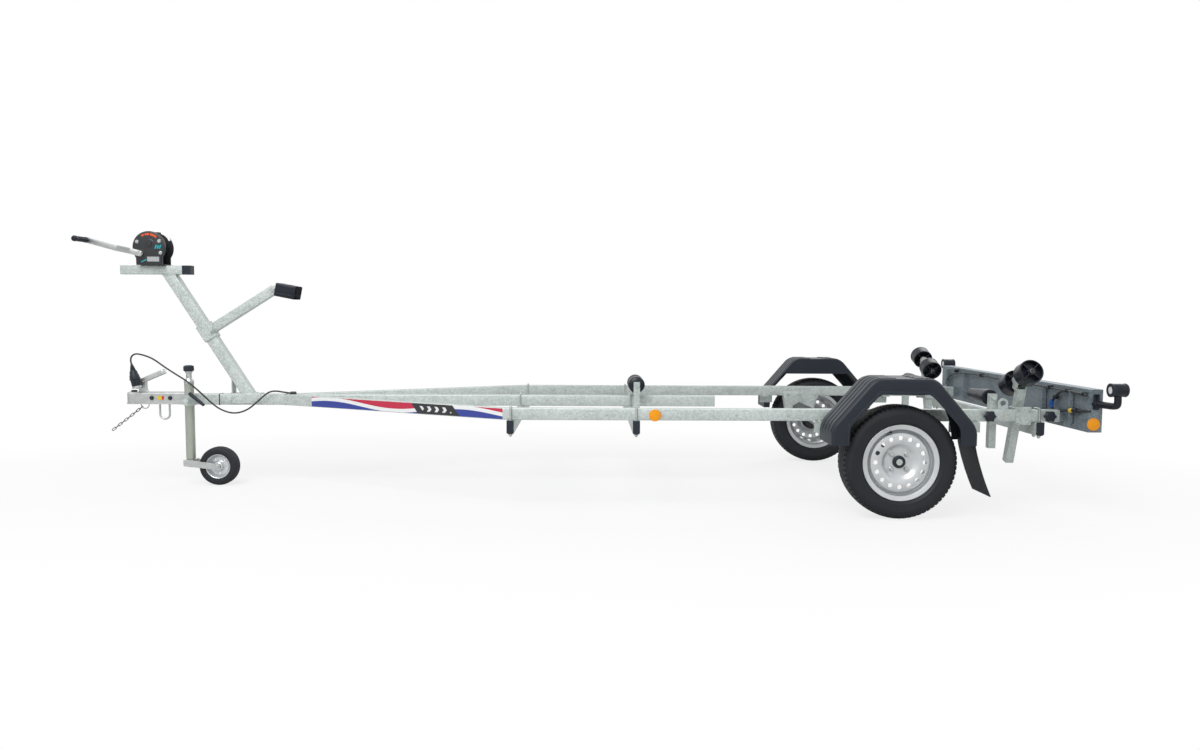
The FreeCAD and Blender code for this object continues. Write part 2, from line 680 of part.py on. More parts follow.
def coupling_lever():
    half = s.lever_width / 2
    t, length = s.lever_height, s.lever_length
    body = new_body("coupling_lever_bar")
    pad(body, "coupling_lever_pad", [[(0, 0), (length, 0), (length, t * 0.6), (length - 14, t),
                                      (0, t)]], s.lever_width)
    place(body, -s.lever_x, half, s.lever_z, axis=None)
    tilt = FreeCAD.Rotation(FreeCAD.Vector(0, 1, 0), -number(s.lever_pitch)).multiply(turns["XZ"])
    body.Placement = FreeCAD.Placement(body.Placement.Base, tilt)
    foot = box("coupling_lever_foot", -s.lever_x - 4, -s.lever_x + 40, -half + 4, half - 4, s.head_top,
               s.lever_z + 12)
    return fuse("coupling_lever", body, foot)


def jockey_clamp():
    """The split clamp on the drawbar's side that grips the jockey leg."""
    r = s.jockey_tube + 6
    band = rod("jockey_band", r, s.rail_height, -s.jockey_x, -s.jockey_y, s.rail_bottom)
    near = -s.drawbar_width / 2 - (s.head_width - s.drawbar_width) / 2 * 0
    lug = box("jockey_lug", -s.jockey_x - 22, -s.jockey_x + 22, -s.jockey_y, near, s.rail_bottom, s.rail_top)
    bore = rod("jockey_bore", s.jockey_tube, s.rail_height + 2, -s.jockey_x, -s.jockey_y, s.rail_bottom - 1)
    knob = rod("jockey_clamp_knob", 14, 55, -s.jockey_x + 12, -s.jockey_y - r - 50, s.rail_top - 30, turn=along_y)
    return fuse("jockey_clamp", cut("jockey_clamp_ring", fuse("jockey_clamp_solid", band, lug), bore), knob)


def jockey_leg():
    """The leg's outer tube with the screw head on top."""
    tube = new_body("jockey_outer")
    pad(tube, "jockey_outer_pad", [hole(s.jockey_tube), hole(s.jockey_tube - s.jockey_wall)],
        s.jockey_top - s.jockey_bottom)
    return place(tube, -s.jockey_x, -s.jockey_y, s.jockey_bottom)


def jockey_screw():
    """The screw head, spindle and turning knob above the outer tube."""
    top = s.jockey_top
    cap = rod("jockey_cap", s.jockey_tube, s.jockey_cap, -s.jockey_x, -s.jockey_y, top)
    neck = rod("jockey_neck", s.jockey_neck, s.jockey_rise, -s.jockey_x, -s.jockey_y, top)
    knob = rod("jockey_knob", s.jockey_knob, s.jockey_knob_height, -s.jockey_x, -s.jockey_y, top + s.jockey_rise)
    return fuse("jockey_screw", cap, neck, knob)


def jockey_inner():
    inner = s.jockey_tube - s.jockey_wall - 0.1
    tube = new_body("jockey_inner_tube")
    pad(tube, "jockey_inner_pad", [hole(inner), hole(inner - s.jockey_wall)], s.jockey_travel + 80)
    return place(tube, -s.jockey_x, -s.jockey_y, s.jockey_bottom - 6)


def jockey_fork():
    """The trailing fork that swivels under the leg."""
    x, y, wall = -s.jockey_x, -s.jockey_y, s.jockey_fork_wall
    wheel_x, wheel_z = x + s.jockey_trail, s.jockey_wheel / 2
    half = s.jockey_fork_gap / 2
    crown = s.jockey_bottom - 6 - s.face_gap
    plates = []
    shape = [(x - 26, crown - wall), (x - 26, crown - 34), (wheel_x - 20, wheel_z - 16), (wheel_x + 16, wheel_z - 10),
             (wheel_x + 16, wheel_z + 14), (x + 34, crown - wall)]
    for k, start in ((0, y - half - wall), (1, y + half)):
        plates.append(prism("jockey_fork_plate_%d" % k, "XZ", [shape], start, wall))
    top = box("jockey_fork_crown", x - 26, x + 30, y - half - wall, y + half + wall, crown - wall, crown)
    axle = rod("jockey_axle", s.jockey_axle, 2 * half + 2 * wall + 12, wheel_x, y - half - wall - 6, wheel_z,
               turn=along_y)
    pin = rod("jockey_kingpin", s.jockey_tube - 2 * s.jockey_wall - 0.1 - s.pin_clearance, 40 + s.face_gap, x, y,
              crown)
    return fuse("jockey_fork", top, axle, pin, *plates)


def jockey_wheel_piece(name, profile):
    body = turned(name, profile)
    return place(body, -s.jockey_x + s.jockey_trail, -s.jockey_y, s.jockey_wheel / 2,
                 turn=FreeCAD.Rotation(FreeCAD.Vector(0, 0, 1), 90))


def jockey_tyre():
    r, w = s.jockey_wheel / 2, s.jockey_tread / 2
    inner = r * 0.62
    return jockey_wheel_piece("jockey_tyre", [
        (-w * 0.8, inner), (w * 0.8, inner), (w, inner + 8), (w, r - 12), (w * 0.6, r), (-w * 0.6, r),
        (-w, r - 12), (-w, inner + 8)])


def jockey_rim():
    r, w = s.jockey_wheel / 2 * 0.62, s.jockey_tread / 2
    bore = s.jockey_axle + s.pin_clearance
    return jockey_wheel_piece("jockey_rim", [
        (-w * 0.9, bore), (w * 0.9, bore), (w * 0.9, bore + 10), (w * 0.2, bore + 14), (w * 0.2, r - 10),
        (w * 0.75, r - 4), (w * 0.75, r), (-w * 0.75, r), (-w * 0.75, r - 4), (-w * 0.2, r - 10),
        (-w * 0.2, bore + 14), (-w * 0.9, bore + 10)])


def leaning(low, high, half):
    """A strip's side outline, leaning forward with the post, from height low to height high."""
    x0 = -s.post_x - low * tan(s.post_lean)
    x1 = -s.post_x - high * tan(s.post_lean)
    wide = half / cos(s.post_lean)
    return [(x0 - wide, s.rail_top + low), (x0 + wide, s.rail_top + low), (x1 + wide, s.rail_top + high),
            (x1 - wide, s.rail_top + high)]


def winch_post():
    half, wall = s.post_size / 2, s.rail_wall
    body = prism("winch_post", "XZ", [leaning(0, s.post_rise, half)], -half, s.post_size)
    pocket(body, "winch_post_hollow", [leaning(0, s.post_rise, half - wall)], s.post_size - 2 * wall,
           s.post_size - wall)
    return body


def head_tube():
    up = s.post_top_z + s.head_tube / 2
    return square_tube("head_tube", "YZ", 0, up, s.head_tube, s.head_tube, s.rail_wall, -s.head_tube_front,
                       s.head_tube_front - s.head_tube_rear)


def on_post(item, up, y, along=0):
    """Seats a piece in the leaning post's own axes: up the post and square to it."""
    x = -s.post_x - up * sin(s.post_lean) + along * cos(s.post_lean)
    z = s.rail_top + up * cos(s.post_lean) + along * sin(s.post_lean)
    return place(item, x, y, z, axis=(0, -1, 0), angle=s.post_lean)


def plain_box(name, length, width, height):
    item = doc.addObject("Part::Box", name)
    for path, size in (("Length", length), ("Width", width), ("Height", height)):
        setattr(item, path, number(size))
        bind(item, path, size)
    return item


def post_fittings():
    """Foot plates that tie the post to the drawbar, and the sleeve that carries the bow arm."""
    half = s.drawbar_width / 2
    x, z = -s.post_x, s.rail_top
    shape = [(x - 96, z - s.rail_height * 0.8), (x + 80, z - s.rail_height * 0.8), (x + 80, z),
             (x + 30, z + 62), (x - 60, z + 100), (x - 104, z + 84)]
    plates = [prism("post_foot_plate_%d" % k, "XZ", [shape], start, s.bracket_thick)
              for k, start in ((0, -half - s.bracket_thick), (1, half))]
    wall, gap = s.sleeve_wall, s.post_size + 0.4
    outer = plain_box("sleeve_outer", gap + 2 * wall, gap + 2 * wall, s.sleeve_length)
    inner = plain_box("sleeve_inner", gap, gap, s.sleeve_length + 2)
    up = s.sleeve_up - s.sleeve_length / 2
    on_post(outer, up, -gap / 2 - wall, -gap / 2 - wall)
    on_post(inner, up - 1, -gap / 2, -gap / 2)
    return together("post_fittings", cut("arm_sleeve", outer, inner), *plates)


def bow_arm():
    half = s.bow_arm / 2
    start = s.post_size / 2 + 0.2 + s.sleeve_wall
    arm = plain_box("bow_arm", s.bow_arm_end - start, s.bow_arm, s.bow_arm)
    return on_post(arm, s.sleeve_up - half, -half, start)


def bow_block():
    """The rubber stop with a vee for the boat's stem."""
    long, wide = s.bow_block_length, s.bow_block_width / 2
    body = new_body("bow_block")
    plan = [(0, -wide), (long, -wide), (long * 0.45, 0), (long, wide), (0, wide)]
    pad(body, "bow_block_pad", [plan], s.bow_block_height)
    x = -s.post_x - s.sleeve_up * sin(s.post_lean) + s.bow_arm_end * cos(s.post_lean)
    z = s.rail_top + s.sleeve_up * cos(s.post_lean) + s.bow_arm_end * sin(s.post_lean)
    return place(body, x + s.bow_arm / 2 * sin(s.post_lean), 0, z - s.bow_block_height / 2)


def winch_frame():
    """Two side plates standing on the head tube with the gear cover on the left."""
    plates = []
    half = s.winch_gap / 2
    x, r = -s.winch_x, s.winch_radius
    low = s.head_tube_top
    shape = [(x - r, low), (x + r, low), (x + r, s.winch_z, r * 0.96), (x - r, s.winch_z)]
    for k, start in ((0, -half - s.winch_plate), (1, half)):
        plate = prism("winch_plate_%d" % k, "XZ", [shape], start, s.winch_plate)
        bore = rod("winch_plate_bore_%d" % k, s.pin_radius + s.pin_clearance, s.winch_plate + 2, x, start - 1,
                   s.winch_z, turn=along_y)
        crank_bore = rod("winch_crank_bore_%d" % k, s.crank_bar + s.pin_clearance, s.winch_plate + 2, -s.crank_x,
                         start - 1, s.crank_z, turn=along_y)
        plates.append(cut("winch_side_%d" % k, cut("winch_cut_%d" % k, plate, bore), crank_bore))
    base = box("winch_base", x - r, x + r, -half, half, low, low + s.winch_plate)
    return fuse("winch_frame", base, *plates)


def winch_drum():
    half = s.winch_gap / 2
    r = s.drum_radius
    flange = s.drum_flange
    profile = [(-half - 10, 0), (-half - 10, s.pin_radius), (-half + 2, s.pin_radius), (-half + 2, flange),
               (-half + 5, flange), (-half + 5, r), (half - 5, r), (half - 5, flange), (half - 2, flange),
               (half - 2, s.pin_radius), (half + 10, s.pin_radius), (half + 10, 0)]
    body = turned("winch_drum", profile)
    return place(body, -s.winch_x, 0, s.winch_z, turn=FreeCAD.Rotation(FreeCAD.Vector(0, 0, 1), 90))


def winch_crank():
    """The flat crank arm on its shaft."""
    shaft = rod("crank_shaft", s.crank_bar, s.crank_y + s.winch_gap / 2 + 12, -s.crank_x, -s.crank_y,
                s.crank_z, turn=along_y)
    body = new_body("crank_arm")
    pad(body, "crank_arm_pad", [[(0, -16), (s.crank_length, -12), (s.crank_length + 12, 0),
                                 (s.crank_length, 12), (0, 16), (0 - 16, 0)]], s.crank_bar)
    place(body, -s.crank_x, -s.crank_y, s.crank_z)
    tilt = FreeCAD.Rotation(FreeCAD.Vector(0, 1, 0), 180 + number(s.crank_angle)).multiply(turns["XZ"])
    body.Placement = FreeCAD.Placement(body.Placement.Base, tilt)
    return fuse("winch_crank", shaft, body)


def crank_grip():
    x = -s.crank_x - s.crank_length * cos(s.crank_angle)
    z = s.crank_z + s.crank_length * sin(s.crank_angle)
    return rod("crank_grip", s.grip_radius, s.grip_length, x, -s.crank_y - s.grip_length - s.crank_bar, z,
               turn=along_y)


def keel_bracket():
    """Flat straps each side of the middle beam that hold the keel roller's pin."""
    half = s.keel_length / 2 + 3
    w = s.strap_width / 2
    straps = []
    for k, start in ((0, -half - s.strap_thick), (1, half)):
        straps.append(box("keel_strap_%d" % k, -s.keel_x - w, -s.keel_x + w, start, start + s.strap_thick,
                          s.rail_bottom, s.keel_z + w))
    pin = rod("keel_pin", s.pin_radius, 2 * half + 2 * s.strap_thick + 16, -s.keel_x,
              -half - s.strap_thick - 8, s.keel_z, turn=along_y)
    return fuse("keel_bracket", pin, *straps)


def keel_roller():
    half, r = s.keel_length / 2, s.keel_radius
    bore = s.pin_radius + s.pin_clearance
    body = turned("keel_roller", [(-half, bore), (half, bore), (half, r * 0.86), (half * 0.8, r), (half * 0.25, r * 0.9),
                                  (-half * 0.25, r * 0.9), (-half * 0.8, r), (-half, r * 0.86)])
    return place(body, -s.keel_x, 0, s.keel_z, turn=FreeCAD.Rotation(FreeCAD.Vector(0, 0, 1), 90))


def twin_axes(side, up, inboard=0):
    """A point up the leaning twin-roller post and inboard of it, as its y and z."""
    cosine, sine = cos(s.twin_post_lean), sin(s.twin_post_lean)
    y = side * (s.twin_post_y + up * sine - inboard * cosine)
    z = s.rail_bottom + s.rail_height / 2 + up * cosine + inboard * sine
    return y, z


def twin_post(name, side):
    """A square post leaning outboard, with two ears that hold the tilted axle."""
    length = s.twin_post_up + s.twin_post_down
    y, z = twin_axes(side, -s.twin_post_down)
    half, wall = s.twin_post / 2, s.rail_wall
    tube = new_body(name + "_tube")
    pad(tube, name + "_tube_pad", [rectangle(-half, half, -half, half),
                                   rectangle(-half + wall, half - wall, -half + wall, half - wall)], length)
    place(tube, s.twin_x, y, z, axis=(-side, 0, 0), angle=s.twin_post_lean)
    ears = []
    inner, outer, thick = s.twin_shift + s.twin_ear, -s.twin_ear * 0.6, s.bracket_thick
    for k, start in ((-1, -half - thick), (1, half)):
        ear = plain_box("%s_ear_%d" % (name, k), thick, inner - outer, s.twin_up + s.twin_ear - s.twin_post_up + s.twin_ear)
        y, z = twin_axes(side, s.twin_post_up - s.twin_ear, outer if side < 0 else inner)
        place(ear, s.twin_x + start, y, z, axis=(-side, 0, 0), angle=s.twin_post_lean)
        ears.append(ear)
    y, z = twin_axes(side, s.twin_up, s.twin_shift)
    reach = s.twin_gap / 2 + s.twin_width + 6
    axle = rod(name + "_axle", s.pin_radius, 2 * reach, s.twin_x, y - reach * cos(s.twin_tilt),
               z - side * reach * sin(s.twin_tilt))
    tilt = FreeCAD.Rotation(FreeCAD.Vector(1, 0, 0), -90 + side * number(s.twin_tilt))
    axle.Placement = FreeCAD.Placement(axle.Placement.Base, tilt)
    reach = s.twin_gap / 2 - s.twin_play
    sleeve = rod(name + "_sleeve", half + thick / 2, 2 * reach, s.twin_x, y - reach * cos(s.twin_tilt),
                 z - side * reach * sin(s.twin_tilt))
    sleeve.Placement = FreeCAD.Placement(sleeve.Placement.Base, tilt)
    return fuse(name + "_post", tube, axle, sleeve, *ears)


def twin_rollers(name, side):
    """Two roller wheels on the tilted axle."""
    r, w, gap = s.twin_radius, s.twin_width, s.twin_gap / 2
    bore = s.pin_radius + s.pin_clearance
    y, z = twin_axes(side, s.twin_up, s.twin_shift)
    rollers = []
    for k, start in (("outer", gap), ("inner", -gap - w)):
        body = turned("%s_%s" % (name, k), [
            (start, bore), (start + w, bore), (start + w, bore + 8), (start + w - 20, bore + 10), (start + w - 20, r - 10),
            (start + w, r - 6), (start + w, r - 2), (start + w - 3, r), (start + 3, r), (start, r - 2),
            (start, r - 6), (start + 20, r - 10), (start + 20, bore + 10), (start, bore + 8)])
        place(body, s.twin_x, y, z)
        turn = FreeCAD.Rotation(FreeCAD.Vector(1, 0, 0), side * number(s.twin_tilt)).multiply(
            FreeCAD.Rotation(FreeCAD.Vector(0, 0, 1), 90 * side))
        body.Placement = FreeCAD.Placement(body.Placement.Base, turn)
        rollers.append(body)
    return together(name, *rollers)


def single_post(name, side):
    half = s.single_post / 2
    tube = square_tube(name + "_tube", "XY", s.single_x, side * s.single_y, s.single_post, s.single_post, s.rail_wall,
                       s.single_bottom, s.single_top - s.single_bottom)
    inner = s.single_y - half
    start = inner - s.single_length - 20 if side > 0 else -s.single_y - half - 12
    pin = rod(name + "_pin", s.pin_radius, s.single_length + 20 + s.single_post + 12, s.single_x, start, s.single_z - 6,
              turn=along_y)
    return fuse(name, tube, pin)


def single_roller(name, side):
    near = s.single_y - s.single_post / 2 - 8
    r, bore, long = s.single_radius, s.pin_radius + s.pin_clearance, s.single_length
    body = turned(name, [(0, bore), (long, bore), (long, s.single_small_radius - 3), (long - 6, s.single_small_radius),
                         (long * 0.55, s.single_small_radius), (long * 0.15, r), (0, r - 2)])
    return place(body, s.single_x, side * near, s.single_z - 6, turn=facing(-side))


def rail_clamps():
    """Plates outside the rails, with two bent bolts each round the leaning roller posts."""
    clamps = []
    r, half, thick = s.bolt_radius, s.clamp_plate / 2, s.bracket_thick
    for side in (-1, 1):
        name = "twin_clamp_%d" % side
        start = s.rail_outer if side > 0 else -s.rail_outer - thick
        reach = s.rail_height / 2 + r + s.bolt_clearance
        plate = prism(name + "_plate", "XZ", [rectangle(
            s.twin_x - half, s.twin_x + half, s.rail_bottom - s.clamp_lap, s.rail_top + s.clamp_lap)], start, thick)
        pieces = [plate]
        for k in (-1, 1):
            z = s.rail_bottom + s.rail_height / 2 + k * reach
            inner = (s.twin_post_y + k * reach * tan(s.twin_post_lean)
                     - (s.twin_post / 2 + r + s.face_gap) / cos(s.twin_post_lean))
            outer = s.rail_outer + thick + s.nut_height + r
            across = s.twin_post / 2 + r + s.face_gap
            for j in (-1, 1):
                start = inner if side > 0 else -outer
                pieces.append(rod("%s_leg_%d_%d" % (name, k, j), r, outer - inner, s.twin_x + j * across, start, z,
                                  turn=along_y))
                start = s.rail_outer + thick if side > 0 else -s.rail_outer - thick - s.nut_height
                pieces.append(rod("%s_nut_%d_%d" % (name, k, j), s.nut_radius, s.nut_height, s.twin_x + j * across,
                                  start, z, turn=along_y))
            pieces.append(rod("%s_bar_%d" % (name, k), r, 2 * across, s.twin_x - across, side * inner, z,
                              turn=along_x))
        clamps.append(fuse(name, *pieces))
    return together("rail_clamps", *clamps)


def lashing_eye(name, side):
    half = s.eye_width / 2
    z, up = s.rail_top, s.eye_height
    start = s.rail_middle - s.eye_thick / 2 if side > 0 else -s.rail_middle - s.eye_thick / 2
    x = s.eye_x
    shape = [(x - half, z), (x + half, z), (x + half, z + up * 0.6, half * 0.999), (x - half, z + up * 0.6)]
    body = prism(name, "XZ", [shape, hole(s.eye_hole, x, z + up * 0.62)], start, s.eye_thick)
    return body


def light_board():
    """A folded channel across the tail that carries the lamps."""
    x, d, wall = s.board_x, s.board_depth, s.board_wall
    low, top = s.board_top - s.board_height, s.board_top
    shape = [(x, low), (x + d, low), (x + d, low + wall), (x + wall, low + wall), (x + wall, top - wall),
             (x + d, top - wall), (x + d, top), (x, top)]
    ends = [prism("light_board_web", "XZ", [shape], -s.board_half, 2 * s.board_half)]
    for side, start in ((-1, -s.board_half - s.board_wall), (1, s.board_half)):
        ends.append(prism("board_end_%d" % side, "XZ", [rectangle(s.board_x, s.board_x + s.board_depth, low, top)],
                          start, s.board_wall))
    middle, reach = (low + top) / 2, s.plate_length / 2
    ends.append(box("plate_seat", x + wall, x + wall + s.plate_seat, -reach, reach, middle - s.plate_height / 2,
                    middle + s.plate_height / 2))
    half, height = s.rail_width / 2 - s.rail_wall - s.slide_gap, s.rail_height - 2 * s.rail_wall - s.slide_gap
    for side in (-1, 1):
        low = s.rail_bottom + s.rail_wall
        ends.append(square_tube("board_arm_%d" % side, "YZ", side * s.rail_middle, low + height / 2, 2 * half,
                                height, s.board_wall, s.rail_rear - s.board_arm, s.board_x + s.board_arm
                                - s.rail_rear))
    return fuse("light_board", *ends)


def tail_lamps():
    lamps = []
    z = s.board_top - s.board_height / 2
    for side in (-1, 1):
        edge = s.board_half - s.lamp_inset
        near, far = (edge - s.lamp_width, edge) if side > 0 else (-edge, -edge + s.lamp_width)
        lamps.append(box("tail_lamp_%d" % side, s.board_x + s.board_wall, s.board_x + s.board_wall + s.lamp_depth, near, far,
                         z - s.lamp_height / 2, z + s.lamp_height / 2))
    return together("tail_lamps", *lamps)


def markers():
    """Rubber arms bolted to the board's ends, bent up to a round head for two lenses."""
    stalks = []
    x, r, bend = s.stalk_x, s.stalk_radius, s.stalk_bend
    edge, half_boss = s.board_half + s.board_wall, s.stalk_boss / 2
    low = s.marker_z - s.stalk_height
    reach = (s.stalk_run - half_boss) / cos(s.stalk_slant) - bend
    for side in (-1, 1):
        name = "marker_stalk_%d" % side
        slant = FreeCAD.Rotation(FreeCAD.Vector(0, 0, 1), -side * number(s.stalk_slant))
        outward = FreeCAD.Rotation(FreeCAD.Vector(1, 0, 0), -90 * side)
        arm = rod(name + "_arm", r, reach, x + half_boss * tan(s.stalk_slant), side * (edge + half_boss), low,
                  turn=slant.multiply(outward))
        upward = FreeCAD.Rotation(FreeCAD.Vector(0, 1, 0), 90)
        if side < 0:
            upward = FreeCAD.Rotation(FreeCAD.Vector(1, 0, -1), 180)
        elbow = doc.addObject("Part::Torus", name + "_elbow")
        elbow.Radius1, elbow.Radius2, elbow.Angle3 = number(bend), number(r), 90
        bind(elbow, "Radius1", bend)
        bind(elbow, "Radius2", r)
        place(elbow, s.stalk_top_x - bend * sin(s.stalk_slant), side * (s.marker_y - bend * cos(s.stalk_slant)),
              low + bend, turn=slant.multiply(upward))
        neck = rod(name + "_neck", r, s.stalk_height - bend, s.stalk_top_x, side * s.marker_y, low + bend)
        body = s.marker_length - 2 * s.lens_depth
        head = rod(name + "_head", s.marker_radius, body, s.marker_front + s.lens_depth, side * s.marker_y,
                   s.marker_z, turn=along_x)
        start = edge if side > 0 else -edge - s.stalk_foot_wall
        foot = prism(name + "_foot", "XZ", [rectangle(x - s.stalk_foot, x + s.stalk_foot, low - 26, low + 44)],
                     start, s.stalk_foot_wall)
        start = edge if side > 0 else -edge - s.stalk_boss
        boss = rod(name + "_boss", r + 2, s.stalk_boss, x, start, low, turn=along_y)
        stalks.append(fuse(name, arm, elbow, neck, head, foot, boss))
    return together("marker_stalks", *stalks)


def marker_lenses(name, start):
    """Lenses seated on the heads' front or rear faces."""
    return together(name, *[
        rod("%s_%d" % (name, side), s.marker_radius - s.lens_wall, s.lens_depth, start, side * s.marker_y, s.marker_z,
            turn=along_x) for side in (-1, 1)])


def reflectors():
    """Round side reflectors on the rails and on the light board's ends."""
    discs = []
    for side in (-1, 1):
        for name, x, edge, z in (("rail", -s.reflector_x, s.rail_outer, s.rail_top - s.rail_height / 2
                                  - s.reflector_drop),
                                 ("board", s.board_x + s.board_reflector_x, s.board_half + s.board_wall,
                                  s.board_top - s.board_reflector_drop)):
            start = edge if side > 0 else -edge - s.reflector_depth
            discs.append(rod("reflector_%s_%d" % (name, side), s.reflector_radius, s.reflector_depth, x, start, z,
                             turn=along_y))
    return together("reflectors", *discs)


def clamp_knobs():
    """Knobs on the rails that pinch the light board's sliding arms."""
    knobs = []
    for side in (-1, 1):
        for name, x in (("front", s.front_knob_x), ("rear", s.rear_knob_x)):
            edge = s.rail_outer
            start = edge if side > 0 else -edge - s.knob_length
            knobs.append(rod("clamp_knob_%s_%d" % (name, side), s.knob_radius, s.knob_length, x, start,
                             s.rail_top - s.rail_height / 2, turn=along_y))
    return together("clamp_knobs", *knobs)


def hanging_loop(name, x, radius, drop, wire):
    """A bent rod under the coupling: two legs joined by a half circle."""
    low = s.head_bottom - drop
    bend = doc.addObject("Part::Torus", name + "_bend")
    bend.Radius1, bend.Radius2, bend.Angle3 = number(radius), number(wire), 180
    bind(bend, "Radius1", radius)
    bind(bend, "Radius2", wire)
    place(bend, -x, 0, low, turn=FreeCAD.Rotation(FreeCAD.Vector(0, 1, -1), 180))
    legs = [rod("%s_leg_%d" % (name, k), wire, drop, -x + k * radius, 0, low) for k in (-1, 1)]
    return fuse(name, bend, *legs)


def coupling_fittings():
    """Loops under the coupling and the cup that the parked plug stands on."""
    eye = hanging_loop("chain_eye", s.eye_loop_x, s.eye_loop, s.eye_drop, s.loop_wire)
    ring_loop = hanging_loop("safety_loop", s.ring_loop_x, s.ring_loop, s.ring_drop, s.ring_wire)
    lean = s.plug_lean
    cup = rod("plug_cup", s.plug_radius - 4, s.holder, -s.plug_x + s.holder * sin(lean), -s.plug_y,
              s.plug_z - s.holder * cos(lean), axis=(0, -1, 0), angle=lean)
    wide = s.lever_width / 2 - 4
    arm = box("plug_arm", -s.plug_x - 6, -s.plug_x + 16, -s.plug_y, -wide, s.plug_z - s.holder - 4, s.plug_z - s.holder + 4)
    return together("coupling_fittings", eye, ring_loop, fuse("plug_holder", cup, arm))


def chain_link(name, k):
    """One welded link: two straight sides joined by two half circles."""
    r, bend = s.chain_wire, s.chain_bend
    half = s.chain_pitch / 2 - bend + r
    slope = s.chain_slope
    first = s.eye_loop - s.loop_wire + s.chain_pitch / 2 - s.link_gap
    along = first + (s.chain_pitch - 2 * s.link_gap) * k
    pieces = []
    x = -s.eye_loop_x - along * cos(slope)
    z = s.head_bottom - s.eye_drop - along * sin(slope)
    tilt = FreeCAD.Rotation(FreeCAD.Vector(0, 1, 0), -number(slope))
    roll = FreeCAD.Rotation(FreeCAD.Vector(1, 0, 0), 90 * (k % 2))
    turn = tilt.multiply(roll)
    for j in (-1, 1):
        end = doc.addObject("Part::Torus", "%s_end_%d" % (name, j))
        end.Radius1, end.Radius2, end.Angle3 = number(bend), number(r), 180
        bind(end, "Radius1", bend)
        bind(end, "Radius2", r)
        place(end, x + j * half * cos(slope), 0, z + j * half * sin(slope),
              turn=turn.multiply(FreeCAD.Rotation(FreeCAD.Vector(0, 0, 1), -90 * j)))
        pieces.append(end)
        side = turn.multVec(FreeCAD.Vector(0, j, 0))
        pieces.append(rod("%s_side_%d" % (name, j), r, 2 * half, x - half * cos(slope) + bend * side.x,
                          bend * side.y, z - half * sin(slope) + bend * side.z, turn=tilt.multiply(along_x)))
    return fuse(name, *pieces)


def safety_chain():
    """The short chain that hangs from the coupling's eye."""
    return together("safety_chain", *[chain_link("chain_link_%d" % k, k) for k in range(chain_links)])


def cord_tube(name, points, radius):
    """A round cord: straight runs joined by tangent arcs, as large as the runs allow."""
    edges, radii = [], []
    start = points[0]
    for before, here, after in zip(points, points[1:], points[2:]):
        run_in, run_out = (here - before).Length, (after - here).Length
        way_in, way_out = (here - before).normalize(), (after - here).normalize()
        half_turn = way_in.getAngle(way_out) / 2
        tangent = 0.45 * min(run_in, run_out)
        arc_radius = tangent / math.tan(half_turn)
        radii.append(arc_radius)
        begin, end = here - way_in * tangent, here + way_out * tangent
        inward = (way_out - way_in).normalize()
        middle = here + inward * (arc_radius / math.cos(half_turn) - arc_radius)
        edges.append(Part.LineSegment(start, begin).toShape())
        edges.append(Part.Arc(begin, middle, end).toShape())
        start = end
    edges.append(Part.LineSegment(start, points[-1]).toShape())
    path = Part.Wire(edges)
    section = Part.Wire([Part.Circle(points[0], points[1] - points[0], radius).toShape()])
    tube = path.makePipeShell([section], True, False)
    expected = math.pi * radius ** 2 * path.Length
    print("%s: length %.0f mm, least radius %.0f mm, volume %.4f of section times length"
          % (name, path.Length, min(radii), tube.Volume / expected))
    item = doc.addObject("Part::Feature", name)
    item.Shape = tube
    return item


cable_route = [(-4038, -46, 678), (-4045, -46, 714), (-4020, -47, 744), (-3972, -52, 737), (-3908, -62, 706),
               (-3840, -78, 661), (-3774, -95, 624), (-3710, -106, 588), (-3650, -105, 538), (-3594, -93, 476),
               (-3538, -80, 424), (-3464, -72, 400), (-3392, -66, 420), (-3330, -62, 474), (-3284, -54, 518),
               (-3248, -42, 528), (-3206, -22, 519), (-3168, -12, 512)]


def trailer_cable():
    points = [FreeCAD.Vector(x + number(s.axle_x), y, z) for x, y, z in cable_route]
    return cord_tube("trailer_cable", points, number(s.cord_radius))


def trailer_plug():
    """The parked plug, leaning forward, with the taper that the cable leaves by."""
    body, r, end = s.plug_body, s.plug_radius, s.plug_length
    item = turned("trailer_plug", [(0, 0), (end, 0), (end, s.cord_radius + 3), (body, r * 0.62),
                                   (body * 0.72, r), (body * 0.5, r), (body * 0.45, r * 0.9), (0, r * 0.9)])
    lean = FreeCAD.Rotation(FreeCAD.Vector(0, 1, 0), -90 - number(s.plug_lean))
    return place(item, -s.plug_x, -s.plug_y, s.plug_z, turn=lean)


def cable_gland():
    """The clip on the drawbar that the cable ends in."""
    x, y, z = cable_route[-1]
    x = x + s.link_gap * 12
    half = 10
    low = s.rail_top
    shape = [(y - half, low), (y + half, low), (y + half, z, half * 0.96), (y - half, z)]
    return prism("cable_gland", "YZ", [shape], x, s.gland_length)


def pair(name, make):
    """The left and right pieces of one sub-part that is fixed to the frame."""
    return together(name, make(name + "_left", -1), make(name + "_right", 1))


